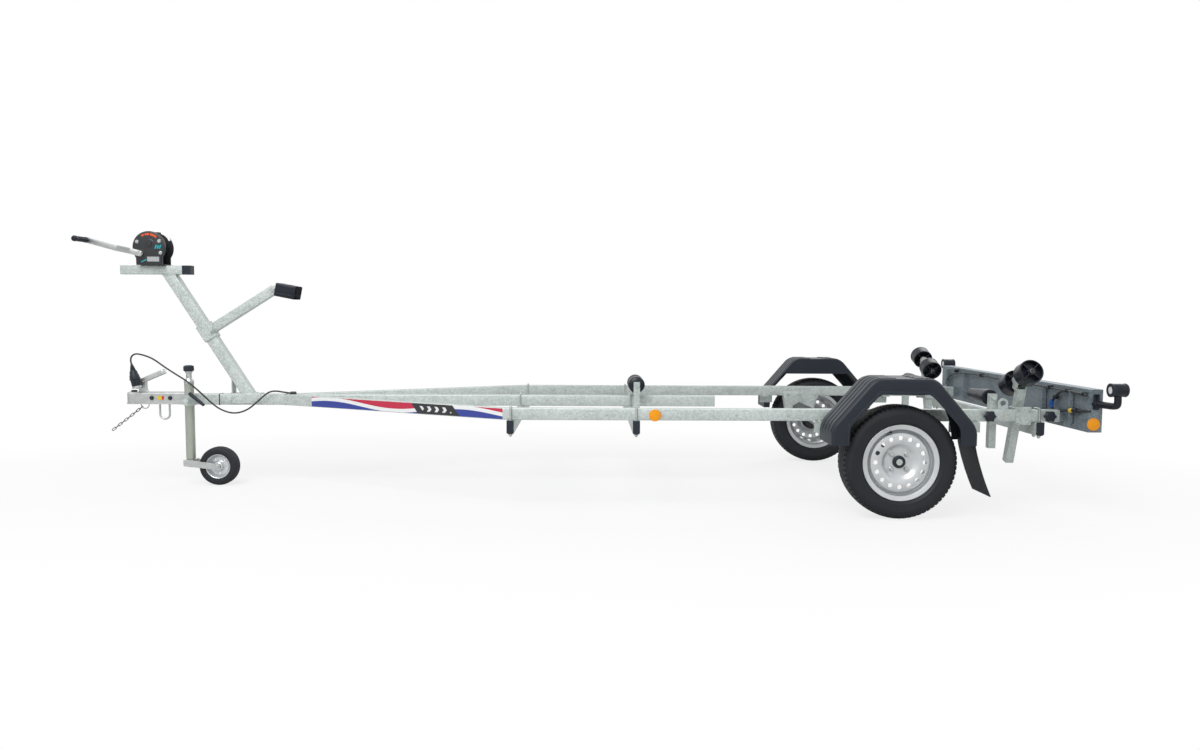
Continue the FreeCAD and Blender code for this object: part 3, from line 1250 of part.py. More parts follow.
def build():
    node("drawbar", drawbar())
    node("side_rails", pair("side_rails", side_rail))
    node("cross_beams", cross_beams())
    node("end_caps", end_caps())
    node("frame_u_bolts", frame_u_bolts())
    node("axle_beam", axle_beam())
    node("axle_saddles", axle_saddles())
    node("swing_arms", swing_arms())
    node("fender_brackets", fender_brackets())
    node("mudflaps", mudflaps())
    node("coupling_head", coupling_head())
    node("coupling_lever", coupling_lever())
    node("coupling_fittings", coupling_fittings())
    node("safety_chain", safety_chain())
    node("trailer_cable", trailer_cable())
    node("trailer_plug", trailer_plug())
    node("cable_gland", cable_gland())
    node("jockey_clamp", jockey_clamp())
    node("jockey_leg", jockey_leg())
    node("jockey_screw", jockey_screw())
    node("jockey_inner_tube", jockey_inner())
    node("jockey_fork", jockey_fork())
    node("jockey_tyre", jockey_tyre())
    node("jockey_rim", jockey_rim())
    node("winch_post", winch_post())
    node("post_fittings", post_fittings())
    node("head_tube", head_tube())
    node("bow_arm", bow_arm())
    node("bow_block", bow_block())
    node("winch_frame", winch_frame())
    node("winch_drum", winch_drum())
    node("winch_crank", winch_crank())
    node("crank_grip", crank_grip())
    node("keel_bracket", keel_bracket())
    node("keel_roller", keel_roller())
    node("roller_posts", together("roller_posts", pair("twin_posts", twin_post), pair("single_posts", single_post)))
    node("rail_clamps", rail_clamps())
    node("lashing_eyes", pair("lashing_eyes", lashing_eye))
    node("light_board", light_board())
    node("tail_lamps", tail_lamps())
    node("marker_stalks", markers())
    node("marker_front_lenses", marker_lenses("marker_front_lenses", s.marker_front))
    node("marker_rear_lenses", marker_lenses("marker_rear_lenses", s.marker_rear - s.lens_depth))
    node("reflectors", reflectors())
    node("clamp_knobs", clamp_knobs())
    for name, side in (("left", -1), ("right", 1)):
        node("tyre_" + name, tyre("tyre_" + name, side))
        node("rim_" + name, rim("rim_" + name, side))
        node("hub_" + name, hub("hub_" + name, side))
        node("centre_cap_" + name, centre_cap("centre_cap_" + name, side))
        node("fender_" + name, fender("fender_" + name, side))
        node("twin_rollers_" + name, twin_rollers("twin_rollers_" + name, side))
        node("single_roller_" + name, single_roller("single_roller_" + name, side))


def export():
    doc.recompute()
    for item in doc.Objects:
        if "Invalid" in item.State or "Error" in item.State:
            raise RuntimeError("%s failed: %s" % (item.Label, item.State))
    os.makedirs("parts", exist_ok=True)
    for name, item in nodes.items():
        shape = item.Shape
        if shape.isNull() or not shape.isValid():
            raise RuntimeError(name + " has no sound shape")
        shape.exportStep("parts/%s.step" % name)


build()
export()
print(len(nodes), "nodes")
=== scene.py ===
import json
import math

import bmesh
import bpy
from mathutils import Matrix, Vector


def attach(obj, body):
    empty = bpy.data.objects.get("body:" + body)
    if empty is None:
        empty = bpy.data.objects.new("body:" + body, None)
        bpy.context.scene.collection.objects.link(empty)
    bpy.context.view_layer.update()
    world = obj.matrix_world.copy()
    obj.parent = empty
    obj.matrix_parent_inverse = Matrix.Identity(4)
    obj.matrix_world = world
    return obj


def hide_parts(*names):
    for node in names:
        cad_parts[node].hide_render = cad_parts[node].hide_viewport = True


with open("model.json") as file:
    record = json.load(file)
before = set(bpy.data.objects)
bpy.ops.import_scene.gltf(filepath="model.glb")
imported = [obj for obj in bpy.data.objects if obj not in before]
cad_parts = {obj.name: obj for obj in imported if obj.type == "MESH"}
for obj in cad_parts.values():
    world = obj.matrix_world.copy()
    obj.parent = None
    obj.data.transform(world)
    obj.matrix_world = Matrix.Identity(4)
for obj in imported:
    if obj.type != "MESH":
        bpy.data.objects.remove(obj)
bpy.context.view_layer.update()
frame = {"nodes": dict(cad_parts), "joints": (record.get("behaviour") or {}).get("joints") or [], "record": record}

cadNodes = frame["nodes"]
axle = next(joint["pos_m"][0] for joint in frame["joints"] if joint["name"] == "wheel_left_spin")
left, right = both = -1, 1
sides = ((left, "Left"), (right, "Right"))
print("frame loaded")


# a new object of the scene
def linked(name, data):
    item = bpy.data.objects.new(name, data)
    bpy.context.scene.collection.objects.link(item)
    return item


# camera at the photograph's viewing angle
cameraView = {"place": (axle - 1.49598, -5.204, 1.00427), "turn": (85.789, -0.300, -0.804), "lens": 27.58,
              "reach": 200}


def makeCamera():
    data = bpy.data.cameras.new("camera")
    data.lens = cameraView["lens"]
    data.clip_end = cameraView["reach"]
    camera = linked("camera", data)
    camera.location = cameraView["place"]
    camera.rotation_euler = [math.radians(angle) for angle in cameraView["turn"]]
    bpy.context.scene.camera = camera


makeCamera()
print("camera set")


# shader maths: a Signal is a socket that can be added, multiplied and so on
class Signal:
    def __init__(self, finish, socket):
        self.finish = finish
        self.socket = socket

    def math(self, operation, first, second=0.0):
        return self.finish.node("Math", {"operation": operation}, {0: first, 1: second})

    def __add__(self, other):
        return self.math("ADD", self, other)

    def __sub__(self, other):
        return self.math("SUBTRACT", self, other)

    def __mul__(self, other):
        return self.math("MULTIPLY", self, other)

    def __truediv__(self, other):
        return self.math("DIVIDE", self, other)

    def __rsub__(self, other):
        return self.math("SUBTRACT", other, self)

    __radd__ = __add__
    __rmul__ = __mul__


class Finish:
    def __init__(self, name, **fixed):
        self.material = bpy.data.materials.new(name)
        self.material.use_nodes = True
        self.tree = self.material.node_tree
        self.shader = self.tree.nodes["Principled BSDF"]
        for key, value in fixed.items():
            self.set(key, value)

    # sets a socket of the surface, named in camelCase: baseColor is Base Color
    def set(self, key, value):
        words = "".join(" " + letter if letter.isupper() else letter for letter in key)
        socket = self.shader.inputs[words.title().replace("Ior", "IOR")]
        if isinstance(value, Signal):
            self.tree.links.new(value.socket, socket)
        else:
            socket.default_value = (*value, 1) if isinstance(value, tuple) else value

    # colour, roughness and relief, then the finished material
    def wear(self, colour, roughness, relief=None):
        self.set("baseColor", colour)
        self.set("roughness", roughness)
        if relief:
            self.set("normal", relief)
        return self.material

    def node(self, kind, settings, sockets, output=0):
        made = self.tree.nodes.new("ShaderNode" + kind)
        for key, value in settings.items():
            setattr(made, key, value)
        for key, value in sockets.items():
            if isinstance(value, Signal):
                self.tree.links.new(value.socket, made.inputs[key])
            else:
                made.inputs[key].default_value = value
        return Signal(self, made.outputs[output])

    def coords(self, stretch=(1, 1, 1)):
        place = self.node("TexCoord", {}, {}, "Object")
        return self.node("Mapping", {}, {"Vector": place, "Scale": stretch})

    def noise(self, scale, detail=4.0, rough=0.55, stretch=(1, 1, 1)):
        return self.node("TexNoise", {}, {"Vector": self.coords(stretch), "Scale": scale, "Detail": detail,
                                          "Roughness": rough})

    def cells(self, scale):
        colour = self.node("TexVoronoi", {}, {"Vector": self.coords(), "Scale": scale}, "Color")
        return self.node("SeparateColor", {}, {0: colour})

    def waves(self, direction, scale):
        return self.node("TexWave", {"bands_direction": direction}, {"Vector": self.coords(), "Scale": scale})

    def blend(self, mask, first, second):
        first, second = [tone if isinstance(tone, Signal) else (*tone, 1) for tone in (first, second)]
        return self.node("Mix", {"data_type": "RGBA"}, {0: mask, 6: first, 7: second}, 2)

    def band(self, value, low, high):
        return self.node("MapRange", {}, {0: value, 1: low, 2: high, 3: 0.0, 4: 1.0})

    # relief, over edges that look soft when an edge radius is given
    def bump(self, height, strength, distance, edge=None):
        sockets = {"Height": height, "Strength": strength, "Distance": distance}
        if edge:
            sockets["Normal"] = self.node("Bevel", {"samples": 6}, {"Radius": edge})
        return self.node("Bump", {}, sockets)


# hot-dip zinc: fine crystals in close greys, with broader clouds and drips
zinc = {
    "pale": (0.61, 0.67, 0.65), "dark": (0.37, 0.415, 0.40), "metallic": 0.35, "crystal": 120.0, "fine": 276.0,
    "cloud": (8.0, 6.0, 0.6), "streak": (14.0, 5.0, 0.6, (1.0, 1.0, 0.25)), "contrast": (0.28, 0.86), "rough": 0.36,
    "relief": (0.10, 0.001)
}


def galvanised(name, **change):
    look = {**zinc, **change}
    finish = Finish(name, metallic=look["metallic"])
    crystals = finish.cells(look["crystal"])
    fine = finish.cells(look["fine"])
    cloud = finish.noise(*look["cloud"])
    streak = finish.noise(*look["streak"])
    mask = crystals * 0.34 + fine * 0.16 + cloud * 0.45 + streak * 0.25
    return finish.wear(finish.blend(finish.band(mask, *look["contrast"]), look["dark"], look["pale"]),
                       look["rough"] + crystals * 0.16 + cloud * 0.12,
                       finish.bump(crystals * 0.4 + streak * 0.6, *look["relief"]))


# coats, paint and mouldings: a cloud between two colours, and a fine grain
coats = {
    "zinc_plated_steel": {"low": (0.40, 0.42, 0.42), "high": (0.62, 0.64, 0.63), "cloud": (38.0, 4.0), "rough": 0.26,
                          "matt": 0.18, "grain": (300.0, 4.0), "relief": (0.05, 0.0005), "metallic": 0.75},
    "black_steel": {"low": (0.005, 0.006, 0.008), "high": (0.014, 0.016, 0.019), "cloud": (30.0, 5.0), "rough": 0.38,
                    "matt": 0.16, "grain": (500.0, 4.0), "relief": (0.08, 0.0004), "coatWeight": 0.25,
                    "coatRoughness": 0.3},
    "jockey_steel": {"low": (0.30, 0.33, 0.28), "high": (0.46, 0.49, 0.43), "cloud": (18.0, 5.0, 0.6, (1, 1, 0.3)),
                     "rough": 0.34, "matt": 0.15, "grain": (220.0, 4.0), "relief": (0.06, 0.0005), "metallic": 0.45},
    "rim_paint": {"low": (0.50, 0.52, 0.54), "high": (0.74, 0.76, 0.77), "cloud": (22.0, 5.0), "fleck": 2600.0,
                  "rough": 0.24, "grain": (700.0, 4.0), "relief": (0.04, 0.0003), "metallic": 0.55,
                  "coatWeight": 0.15},
    "tyre_rubber": {"low": (0.008, 0.009, 0.012), "high": (0.018, 0.020, 0.025), "rough": 0.50, "grain": (420.0, 3.0)},
    "roller_rubber": {"low": (0.004, 0.006, 0.011), "high": (0.012, 0.016, 0.026), "rough": 0.24,
                      "grain": (300.0, 3.0)},
    "black_plastic": {"low": (0.010, 0.014, 0.021), "high": (0.020, 0.027, 0.038), "rough": 0.36,
                      "grain": (900.0, 3.0)},
    "cable_sheath": {"low": (0.020, 0.021, 0.022), "high": (0.045, 0.046, 0.047), "rough": 0.45,
                     "grain": (700.0, 3.0)},
}
lenses = {"red_lens": ((0.35, 0.01, 0.01), (0.75, 0.03, 0.02)), "clear_lens": ((0.60, 0.62, 0.64), (0.88, 0.90, 0.91)),
          "amber_lens": ((0.82, 0.25, 0.001), (0.98, 0.43, 0.004))}
tints = {"cyan": (0.0, 0.42, 0.48), "orange": (0.80, 0.10, 0.02), "grey": (0.42, 0.44, 0.45),
         "yellow": (0.80, 0.55, 0.02), "red": (0.60, 0.03, 0.03), "blue": (0.02, 0.12, 0.50)}
softEdge = {"coat": 0.0015, "lens": 0.002}


def camel(slotName):
    first, *others = slotName.split("_")
    return first + "".join(word.title() for word in others)


def coated(name, low, high, rough, grain, matt=0.12, cloud=(9.0, 6.0, 0.6), relief=(0.12, 0.0006), fleck=None,
           **fixed):
    if not fixed:
        fixed = {"specularIorLevel": 0.32}
    finish = Finish(name, **fixed)
    cloud = finish.noise(*cloud)
    mask = cloud * 0.7 + finish.cells(fleck) * 0.3 if fleck else cloud
    return finish.wear(finish.blend(mask, low, high), rough + cloud * matt,
                       finish.bump(finish.noise(*grain), *relief, softEdge["coat"]))


def lens(name, deep, bright):
    finish = Finish(name, coatWeight=0.2, coatRoughness=0.05, specularIorLevel=0.25)
    ribs = finish.waves("Z", 90.0)
    return finish.wear(finish.blend(ribs * 0.6 + finish.noise(60.0) * 0.4, deep, bright), 0.12 + ribs * 0.1,
                       finish.bump(ribs, 0.25, 0.0008, softEdge["lens"]))


# flat colour for small labels and trim, with a slight mottle
def tinted(name, colour):
    finish = Finish(name)
    cloud = finish.noise(120.0, 3.0)
    return finish.wear(finish.blend(cloud, tuple(0.8 * part for part in colour), colour), 0.4 + cloud * 0.08)


materials = {"galvanised_steel": galvanised("galvanisedSteel")}
materials.update({slotName: coated(camel(slotName), **look) for slotName, look in coats.items()})
materials.update({slotName: lens(camel(slotName), *pair) for slotName, pair in lenses.items()})
materials.update({name: tinted(name + "Label", colour) for name, colour in tints.items()})
materials["chain"] = galvanised("chainSteel", pale=(0.30, 0.31, 0.31), dark=(0.10, 0.11, 0.11), metallic=0.6)
# painted shade: the lamp board gets a darker, bluer copy of the galvanised finish, which stands in for the shade and
# dark reflection on its inner face
materials["board"] = galvanised("boardSteel", pale=(0.26, 0.31, 0.34), dark=(0.11, 0.14, 0.16))


def dressNodes():
    for part in frame["record"]["subparts"]:
        node = cadNodes[part["node"]]
        node.data.materials.clear()
        # the light board takes the darker copy of galvanised, a painted shade
        node.data.materials.append(materials["board" if part["node"] == "light_board" else part["material_slot"]])


dressNodes()
print("materials set")


# every new piece: its mesh, slot, body and the node it stands for
def addPiece(name, mesh, slotName, replaced=None, body="chassis", material=None):
    piece = linked(name, mesh)
    mesh.materials.append(materials[material or slotName])
    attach(piece, body)
    if replaced:
        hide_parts(replaced)
    return piece


# shapes are drawn in millimetres from the wheels' axis, then set in the frame
class Form:
    def __init__(self, mesh=None):
        self.mesh = bmesh.new()
        if mesh:
            self.mesh.from_mesh(mesh)

    def put(self, verts, place=(0, 0, 0), turn=None):
        move = Matrix.Translation(place) @ (turn.to_4x4() if turn else Matrix())
        bmesh.ops.transform(self.mesh, matrix=move, verts=verts)
        return self

    def putAll(self, place, turn):
        return self.put(self.mesh.verts[:], place, turn)

    def box(self, one, other, place=(0, 0, 0), turn=None):
        low, high = list(map(min, one, other)), list(map(max, one, other))
        made = bmesh.ops.create_cube(self.mesh, size=1)["verts"]
        bmesh.ops.scale(self.mesh, vec=[b - a for a, b in zip(low, high)], verts=made)
        bmesh.ops.translate(self.mesh, vec=[(a + b) / 2 for a, b in zip(low, high)], verts=made)
        return self.put(made, place, turn)

    def rod(self, radius, start, end, far=None, steps=24):
        start, end = Vector(start), Vector(end)
        made = bmesh.ops.create_cone(self.mesh, cap_ends=True, segments=steps, radius1=radius,
                                     radius2=radius if far is None else far, depth=(end - start).length)
        return self.put(made["verts"], (start + end) / 2, (end - start).to_track_quat("Z", "Y").to_matrix())

    # a washer and a hexagonal head, each with its radius, start and end along a direction
    def bolt(self, foot, along, washer, head, steps=24):
        foot, along = Vector(foot), Vector(along)
        for (radius, start, end), count in ((washer, steps), (head, 6)):
            self.rod(radius, foot + along * start, foot + along * end, steps=count)
        return self

    def ball(self, radius, place, steps=24):
        made = bmesh.ops.create_uvsphere(self.mesh, u_segments=steps, v_segments=steps // 2, radius=radius)
        return self.put(made["verts"], place)

    # an outline in one plane made solid between two levels
    def plate(self, outline, low, high, plane="XZ", place=(0, 0, 0), turn=None):
        low, high = sorted((low, high))
        lay = {"XZ": lambda a, b, c: (a, c, b), "XY": lambda a, b, c: (a, b, c),
               "YZ": lambda a, b, c: (c, a, b)}[plane]
        corners = [self.mesh.verts.new(lay(a, b, low)) for a, b in outline]
        face = self.mesh.faces.new(corners)
        made = bmesh.ops.extrude_face_region(self.mesh, geom=[face], use_keep_orig=True)["geom"]
        raised = [item for item in made if isinstance(item, bmesh.types.BMVert)]
        bmesh.ops.translate(self.mesh, vec=lay(0, 0, high - low), verts=raised)
        return self.put(corners + raised, place, turn)

    # a profile of (along, out) pairs turned about a line through place
    def turned(self, profile, place=(0, 0, 0), turn=None, steps=48, ring=False):
        before = set(self.mesh.verts)
        line = [self.mesh.verts.new((out, along, 0)) for along, out in profile]
        edges = [self.mesh.edges.new(pair) for pair in zip(line, line[1:])]
        if ring:
            edges.append(self.mesh.edges.new((line[-1], line[0])))
        bmesh.ops.spin(self.mesh, geom=line + edges, cent=(0, 0, 0), axis=(0, 1, 0), angle=math.tau,
                       steps=steps, use_merge=True)
        made = [vert for vert in self.mesh.verts if vert not in before]
        bmesh.ops.remove_doubles(self.mesh, verts=made, dist=0.001)
        made = [vert for vert in self.mesh.verts if vert not in before]
        return self.put(made, place, turn)

    def bevel(self, width, segments, chosen):
        self.close()
        edges = [edge for edge in self.mesh.edges if len(edge.link_faces) == 2 and chosen(edge)]
        bmesh.ops.bevel(self.mesh, geom=edges, offset=width, segments=segments, profile=0.5, affect="EDGES",
                        material=-1)
        return self

    def close(self):
        bmesh.ops.recalc_face_normals(self.mesh, faces=self.mesh.faces[:])
        return self

    def toData(self, name):
        data = bpy.data.meshes.new(name)
        self.close().mesh.to_mesh(data)
        self.mesh.free()
        return data

    # takes in another form as it is
    def join(self, form):
        self.mesh.from_mesh(form.toData("joined"))
        return self

    # cuts another form out of this one
    def cut(self, tool, operation="DIFFERENCE"):
        items = [linked("cutting", form.toData("cutting")) for form in (self, tool)]
        change = items[0].modifiers.new("cut", "BOOLEAN")
        change.object = items[1]
        change.operation = operation
        change.solver = "EXACT"
        bpy.context.view_layer.update()
        data = bpy.data.meshes.new_from_object(items[0].evaluated_get(bpy.context.evaluated_depsgraph_get()))
        self.mesh = bmesh.new()
        self.mesh.from_mesh(data)
        for item in items:
            bpy.data.objects.remove(item)
        return self

    def shade(self, sharp):
        for face in self.mesh.faces:
            face.smooth = True
        for edge in self.mesh.edges:
            edge.smooth = len(edge.link_faces) == 2 and edge.calc_face_angle(0) < sharp

    # sets the form in the frame, in metres, as a piece
    def add(self, name, slotName, replaced=None, body="chassis", material=None, sharp=32):
        self.close()
        bmesh.ops.scale(self.mesh, vec=(0.001, 0.001, 0.001), verts=self.mesh.verts[:])
        bmesh.ops.translate(self.mesh, vec=(axle, 0, 0), verts=self.mesh.verts[:])
        self.shade(math.radians(sharp))
        return addPiece(name, self.toData(name), slotName, replaced, body, material)


# an edge's extent, and its lowest and highest place along an axis
def spread(edge):
    one, two = edge.verts
    return one.co - two.co


def least(edge, axis):
    return min(getattr(vert.co, axis) for vert in edge.verts)


def most(edge, axis):
    return max(getattr(vert.co, axis) for vert in edge.verts)


def onFace(edge, axis, level):
    return level - 0.1 < least(edge, axis) and most(edge, axis) < level + 0.1


def arc(x, z, radius, start, end, steps=16):
    turns = [math.radians(start + (end - start) * i / steps) for i in range(steps + 1)]
    return [(x + radius * math.cos(turn), z + radius * math.sin(turn)) for turn in turns]


def mirrored(points):
    return points + [(-along, out) for along, out in reversed(points)]


def about(axis, degrees):
    return Matrix.Rotation(math.radians(degrees), 3, axis)


# the way outward on a side, for shapes turned about a line across the trailer
def outward(side):
    return about("Z", 0 if side > 0 else 180)


# round wire and cords swept along lines
def sweep(name, lines, radius, slotName, replaced=None, material=None, closed=False, order=2,
          fine=(3, 8)):
    curve = bpy.data.curves.new(name, "CURVE")
    curve.dimensions = "3D"
    curve.bevel_depth = radius / 1000
    curve.bevel_resolution = fine[0]
    curve.use_fill_caps = True
    for line in lines:
        spline = curve.splines.new("NURBS" if order > 2 else "POLY")
        spline.points.add(len(line) - 1)
        for point, (x, y, z) in zip(spline.points, line):
            point.co = (axle + x / 1000, y / 1000, z / 1000, 1)
        if order > 2:
            spline.order_u = order
            spline.use_endpoint_u = not closed
            spline.resolution_u = fine[1]
        spline.use_cyclic_u = closed
        spline.use_smooth = True
    return addPiece(name, curve, slotName, replaced, material=material)


# the trailer's cable, from its clip on the drawbar to the parked plug
cable = {"radius": 0.0045, "length": 1.07}
cableRoute = [
    (-4038, -46, 678), (-4045, -46, 706), (-4020, -47, 734), (-3972, -52, 728), (-3908, -62, 706), (-3840, -78, 661),
    (-3774, -95, 624), (-3710, -106, 588), (-3650, -105, 538), (-3594, -93, 476), (-3538, -80, 424), (-3464, -72, 400),
    (-3392, -66, 420), (-3330, -62, 474), (-3284, -54, 518), (-3248, -42, 528), (-3206, -22, 519), (-3168, -12, 512)
]
plug = {
    "place": (-4012, -46, 552), "lean": -11.6, "ribs": 5, "pitch": 6, "taper": 1.5,
    "body": [(0, 0), (0, 22), (2, 24), (34, 25), (36, 28), (46, 28), (48, 26), (60, 25), (66, 22), (80, 20),
        (86, 17.5)],
    "end": [(119, 6.5), (128, 5.5), (128, 0)]
}


def trailerPlug():
    form = Form()
    ribs = []
    for k in range(plug["ribs"]):
        start, out = 88 + plug["pitch"] * k, 15.5 - plug["taper"] * k
        ribs += [(start, out), (start + 3, out), (start + 4, out - 2.5), (start + 5.5, out - 2.5)]
    form.turned(plug["body"] + ribs + plug["end"], plug["place"], about("Y", plug["lean"]) @ about("X", 90), steps=40)
    form.box((-7, -30, 6), (7, -22, 44), plug["place"], about("Y", plug["lean"]))
    return form.add("trailerPlug", "black_plastic", "trailer_plug")


def trailerCable():
    piece = sweep("trailerCable", [cableRoute], 1000 * cable["radius"], "cable_sheath", "trailer_cable", order=3,
                  fine=(5, 12))
    last = cableRoute[-1]
    axle + last[0] / 1000
    trailerPlug()


trailerCable()
print("cable made")


# frame tubes: copies of CAD nodes with their long outer edges rounded
tubes = {
    "side_rails": (5, 300), "drawbar": (5, 300), "winch_post": (5, 200), "head_tube": (5, 200), "cross_beams": (4, 300)
}


def roundTubes():
    for nodeName, (width, length) in tubes.items():
        form = Form(cadNodes[nodeName].data)
        bmesh.ops.remove_doubles(form.mesh, verts=form.mesh.verts[:], dist=1e-6)
        bmesh.ops.dissolve_limit(form.mesh, angle_limit=math.radians(1), verts=form.mesh.verts[:],
                                 edges=form.mesh.edges[:])
        form.bevel(width / 1000, 3, lambda edge: edge.calc_length() > length / 1000
                           and edge.calc_face_angle_signed(0) > 0.7)
        form.shade(0.6)
        name = nodeName + "Eased"
        addPiece(name, form.toData(name), "galvanised_steel", nodeName)


roundTubes()
print("frame tubes rounded")


# tyres: grooved tread, shoulder blocks and ringed sidewalls
hub = {"y": 833, "z": 273.5}
tyre = {
    "blocks": 68, "block": 17, "steps": 144,
    "half": [(56, 172), (61, 184), (64.5, 187), (69, 192), (72, 197), (73.2, 198), (74.6, 203), (74.4, 206),
        (76.8, 214), (78.4, 224), (78.4, 231), (79.0, 233), (78.6, 236), (77.0, 241), (74.5, 249), (70, 257), (64, 263),
        (58, 265.5), (46, 266.5), (43, 267), (42.5, 271.6), (33, 272.3), (32.4, 265), (26, 265), (25.4, 272.8),
        (11.5, 273.4), (11, 265.5), (5, 265.5), (4.4, 273.5)],
    "shoulder": [(44, 263), (44, 271.4), (58, 269.6), (66, 265.8), (71, 258.5), (66, 256)]
}


def makeTyre(side, word):
    place = (0, side * hub["y"], hub["z"])
    form = Form().turned(mirrored(tyre["half"]), place, steps=tyre["steps"], ring=True)
    for sign in (-1, 1):
        outline = [(sign * a, b) for a, b in tyre["shoulder"]]
        for k in range(tyre["blocks"]):
            turn = about("Y", 360 * (k + 0.5 * (sign > 0)) / tyre["blocks"])
            form.plate(outline, -tyre["block"] / 2, tyre["block"] / 2, "YZ", place, turn)
    form.add("tyre" + word, "tyre_rubber", "tyre_" + word.lower(), "wheel_" + word.lower())


# pressed wheels: barrel, disc with vent holes, bolts, cap ring and valve
wheel = {
    "vents": 16, "vent": 11.0, "circle": 118, "bolts": 4, "boltCircle": 50, "valve": (-68, 158),
    "disc": [(24, 30.5), (30, 30.5), (30, 66), (32, 72), (44, 84), (49, 92), (51.5, 104), (52, 118), (51, 130),
        (47, 141), (36, 147), (14, 151.5), (9, 151.5), (9, 149), (31, 142), (42, 136), (46, 128), (47, 118),
        (46.5, 106), (44, 95), (39, 87), (27, 75), (25, 68), (25, 31)],
    "barrel": [(-64, 184), (-64, 163), (-29, 163), (-19.5, 150), (19.5, 150), (29, 163), (60, 163), (60.5, 178),
        (61.5, 182), (64, 184.2), (66.5, 182.5), (66.5, 179), (64.5, 176), (63.8, 166), (61, 160.5), (31, 160),
        (21, 147), (-21, 147), (-31, 160), (-60.5, 166), (-60.5, 184)],
    "cap": [(41, 0), (41.5, 12), (40.5, 17), (42.5, 19), (42.5, 26), (40, 29.3), (36, 30.4), (29.5, 30.6), (29.5, 20),
        (32, 0)]
}


def makeWheel(side, word):
    def onCircle(degrees, out, along, inward=0):
        return about("Y", degrees) @ Vector((out, 0, 0)) + Vector((inward, along, 0))

    body = "wheel_" + word.lower()
    seat = ((0, side * hub["y"], hub["z"]), outward(side))
    form = Form().turned(wheel["disc"], steps=96, ring=True)
    holes = Form()
    for k in range(wheel["vents"]):
        angle, out = 360 * k / wheel["vents"], wheel["circle"]
        holes.rod(wheel["vent"], onCircle(angle, out, 20), onCircle(angle, out, 80), steps=20)
    form.cut(holes).turned(wheel["barrel"], steps=120, ring=True)
    form.putAll(*seat).add("rim" + word, "rim_paint", "rim_" + word.lower(), body, sharp=40)
    form = Form()
    for k in range(wheel["bolts"]):
        angle, out = 45 + 360 * k / wheel["bolts"], wheel["boltCircle"]
        form.rod(12.5, onCircle(angle, out, 29), onCircle(angle, out, 34), far=9.5)
        form.rod(9.5, onCircle(angle, out, 33.5), onCircle(angle, out, 47), steps=6)
        form.rod(6.5, onCircle(angle, out, 47), onCircle(angle, out, 50), far=4.5, steps=20)
    form.putAll(*seat).add("wheelBolts" + word, "zinc_plated_steel", body=body)
    form = Form().turned(wheel["cap"])
    form.rod(6.5, onCircle(*wheel["valve"], 30), onCircle(*wheel["valve"], 52, -5), far=4.5, steps=16)
    form.rod(4.5, onCircle(*wheel["valve"], 51, -5), onCircle(*wheel["valve"], 66, -8), steps=16)
    form.putAll(*seat).add("wheelCap" + word, "black_plastic", "centre_cap_" + word.lower(), body)


for side, word in sides:
    makeTyre(side, word)
    makeWheel(side, word)
print("wheels made")


# moulded fenders: rounded bends and rim, raised bands, skirt with a lipped cut-out
fender = {
    "foot": 345, "bottom": 362, "shoulder": 445, "crown": 145, "top": 678, "inner": 716, "outer": 942, "wall": 4,
    "bend": 34, "round": 15, "pad": 3.4, "bands": 4, "band": 36, "gap": 13, "margin": 22, "bandFoot": 411, "notch": 45,
    "lip": 14, "lipRise": 2.6, "arch": 308, "archFoot": 363, "archTop": 582
}
skirt = {"foot": 262, "shoulder": 448, "crown": 118, "top": 606, "bend": 26}


def fenderSide(size, bottom, inset=0.0):
    run, rise = size["foot"] - size["crown"], size["top"] - size["shoulder"]
    slope = math.hypot(run, rise)
    high = size["shoulder"] - inset * (slope - rise) / run
    wide = size["crown"] - inset * (slope - run) / rise
    foot, top = size["foot"] - inset, size["top"] - inset
    return [(-foot, bottom), (foot, bottom), (foot, high), (wide, top), (-wide, top), (-foot, high)]


def fenderForm(low, high, inset, bottom, rounded=0, outboard=None):
    form = Form().plate(fenderSide(fender, bottom, inset), low, high)
    form.bevel(fender["bend"] - inset, 6, lambda edge: abs(spread(edge).y) > high - low - 1
                       and least(edge, "z") > bottom + 5)
    if rounded:
        form.bevel(rounded, 5, lambda edge: onFace(edge, "y", outboard) and most(edge, "z") > bottom + 5)
    return form


def fenderPads(low, high):
    pads = Form()
    for k in range(fender["bands"]):
        start = low + fender["margin"] + k * (fender["band"] + fender["gap"])
        band = fenderForm(start, start + fender["band"], -fender["pad"], fender["bandFoot"])
        pads.join(band.bevel(2.2, 3, lambda edge: abs(spread(edge).y) < 1 and least(edge, "z") > 420))
    gap = Form().box((-fender["notch"], low, 660), (fender["notch"], high, 700))
    gap.box((-400, low - 5, 380), (400, high + 5, 424))
    return pads.cut(gap)


def fenderArch(inner, side):
    arch, top = Form(), Form()
    out, foot = fender["arch"], fender["archFoot"]
    arch.plate([(-out, 340), (out, 340), (out, foot)] + arc(0, foot, out, 5, 175, 24) + [(-out, foot)],
               inner - side * 6, inner + side * 2 * fender["wall"])
    top.box((-400, -1000, 300), (400, 1000, fender["archTop"]))
    return arch.cut(top, "INTERSECT")


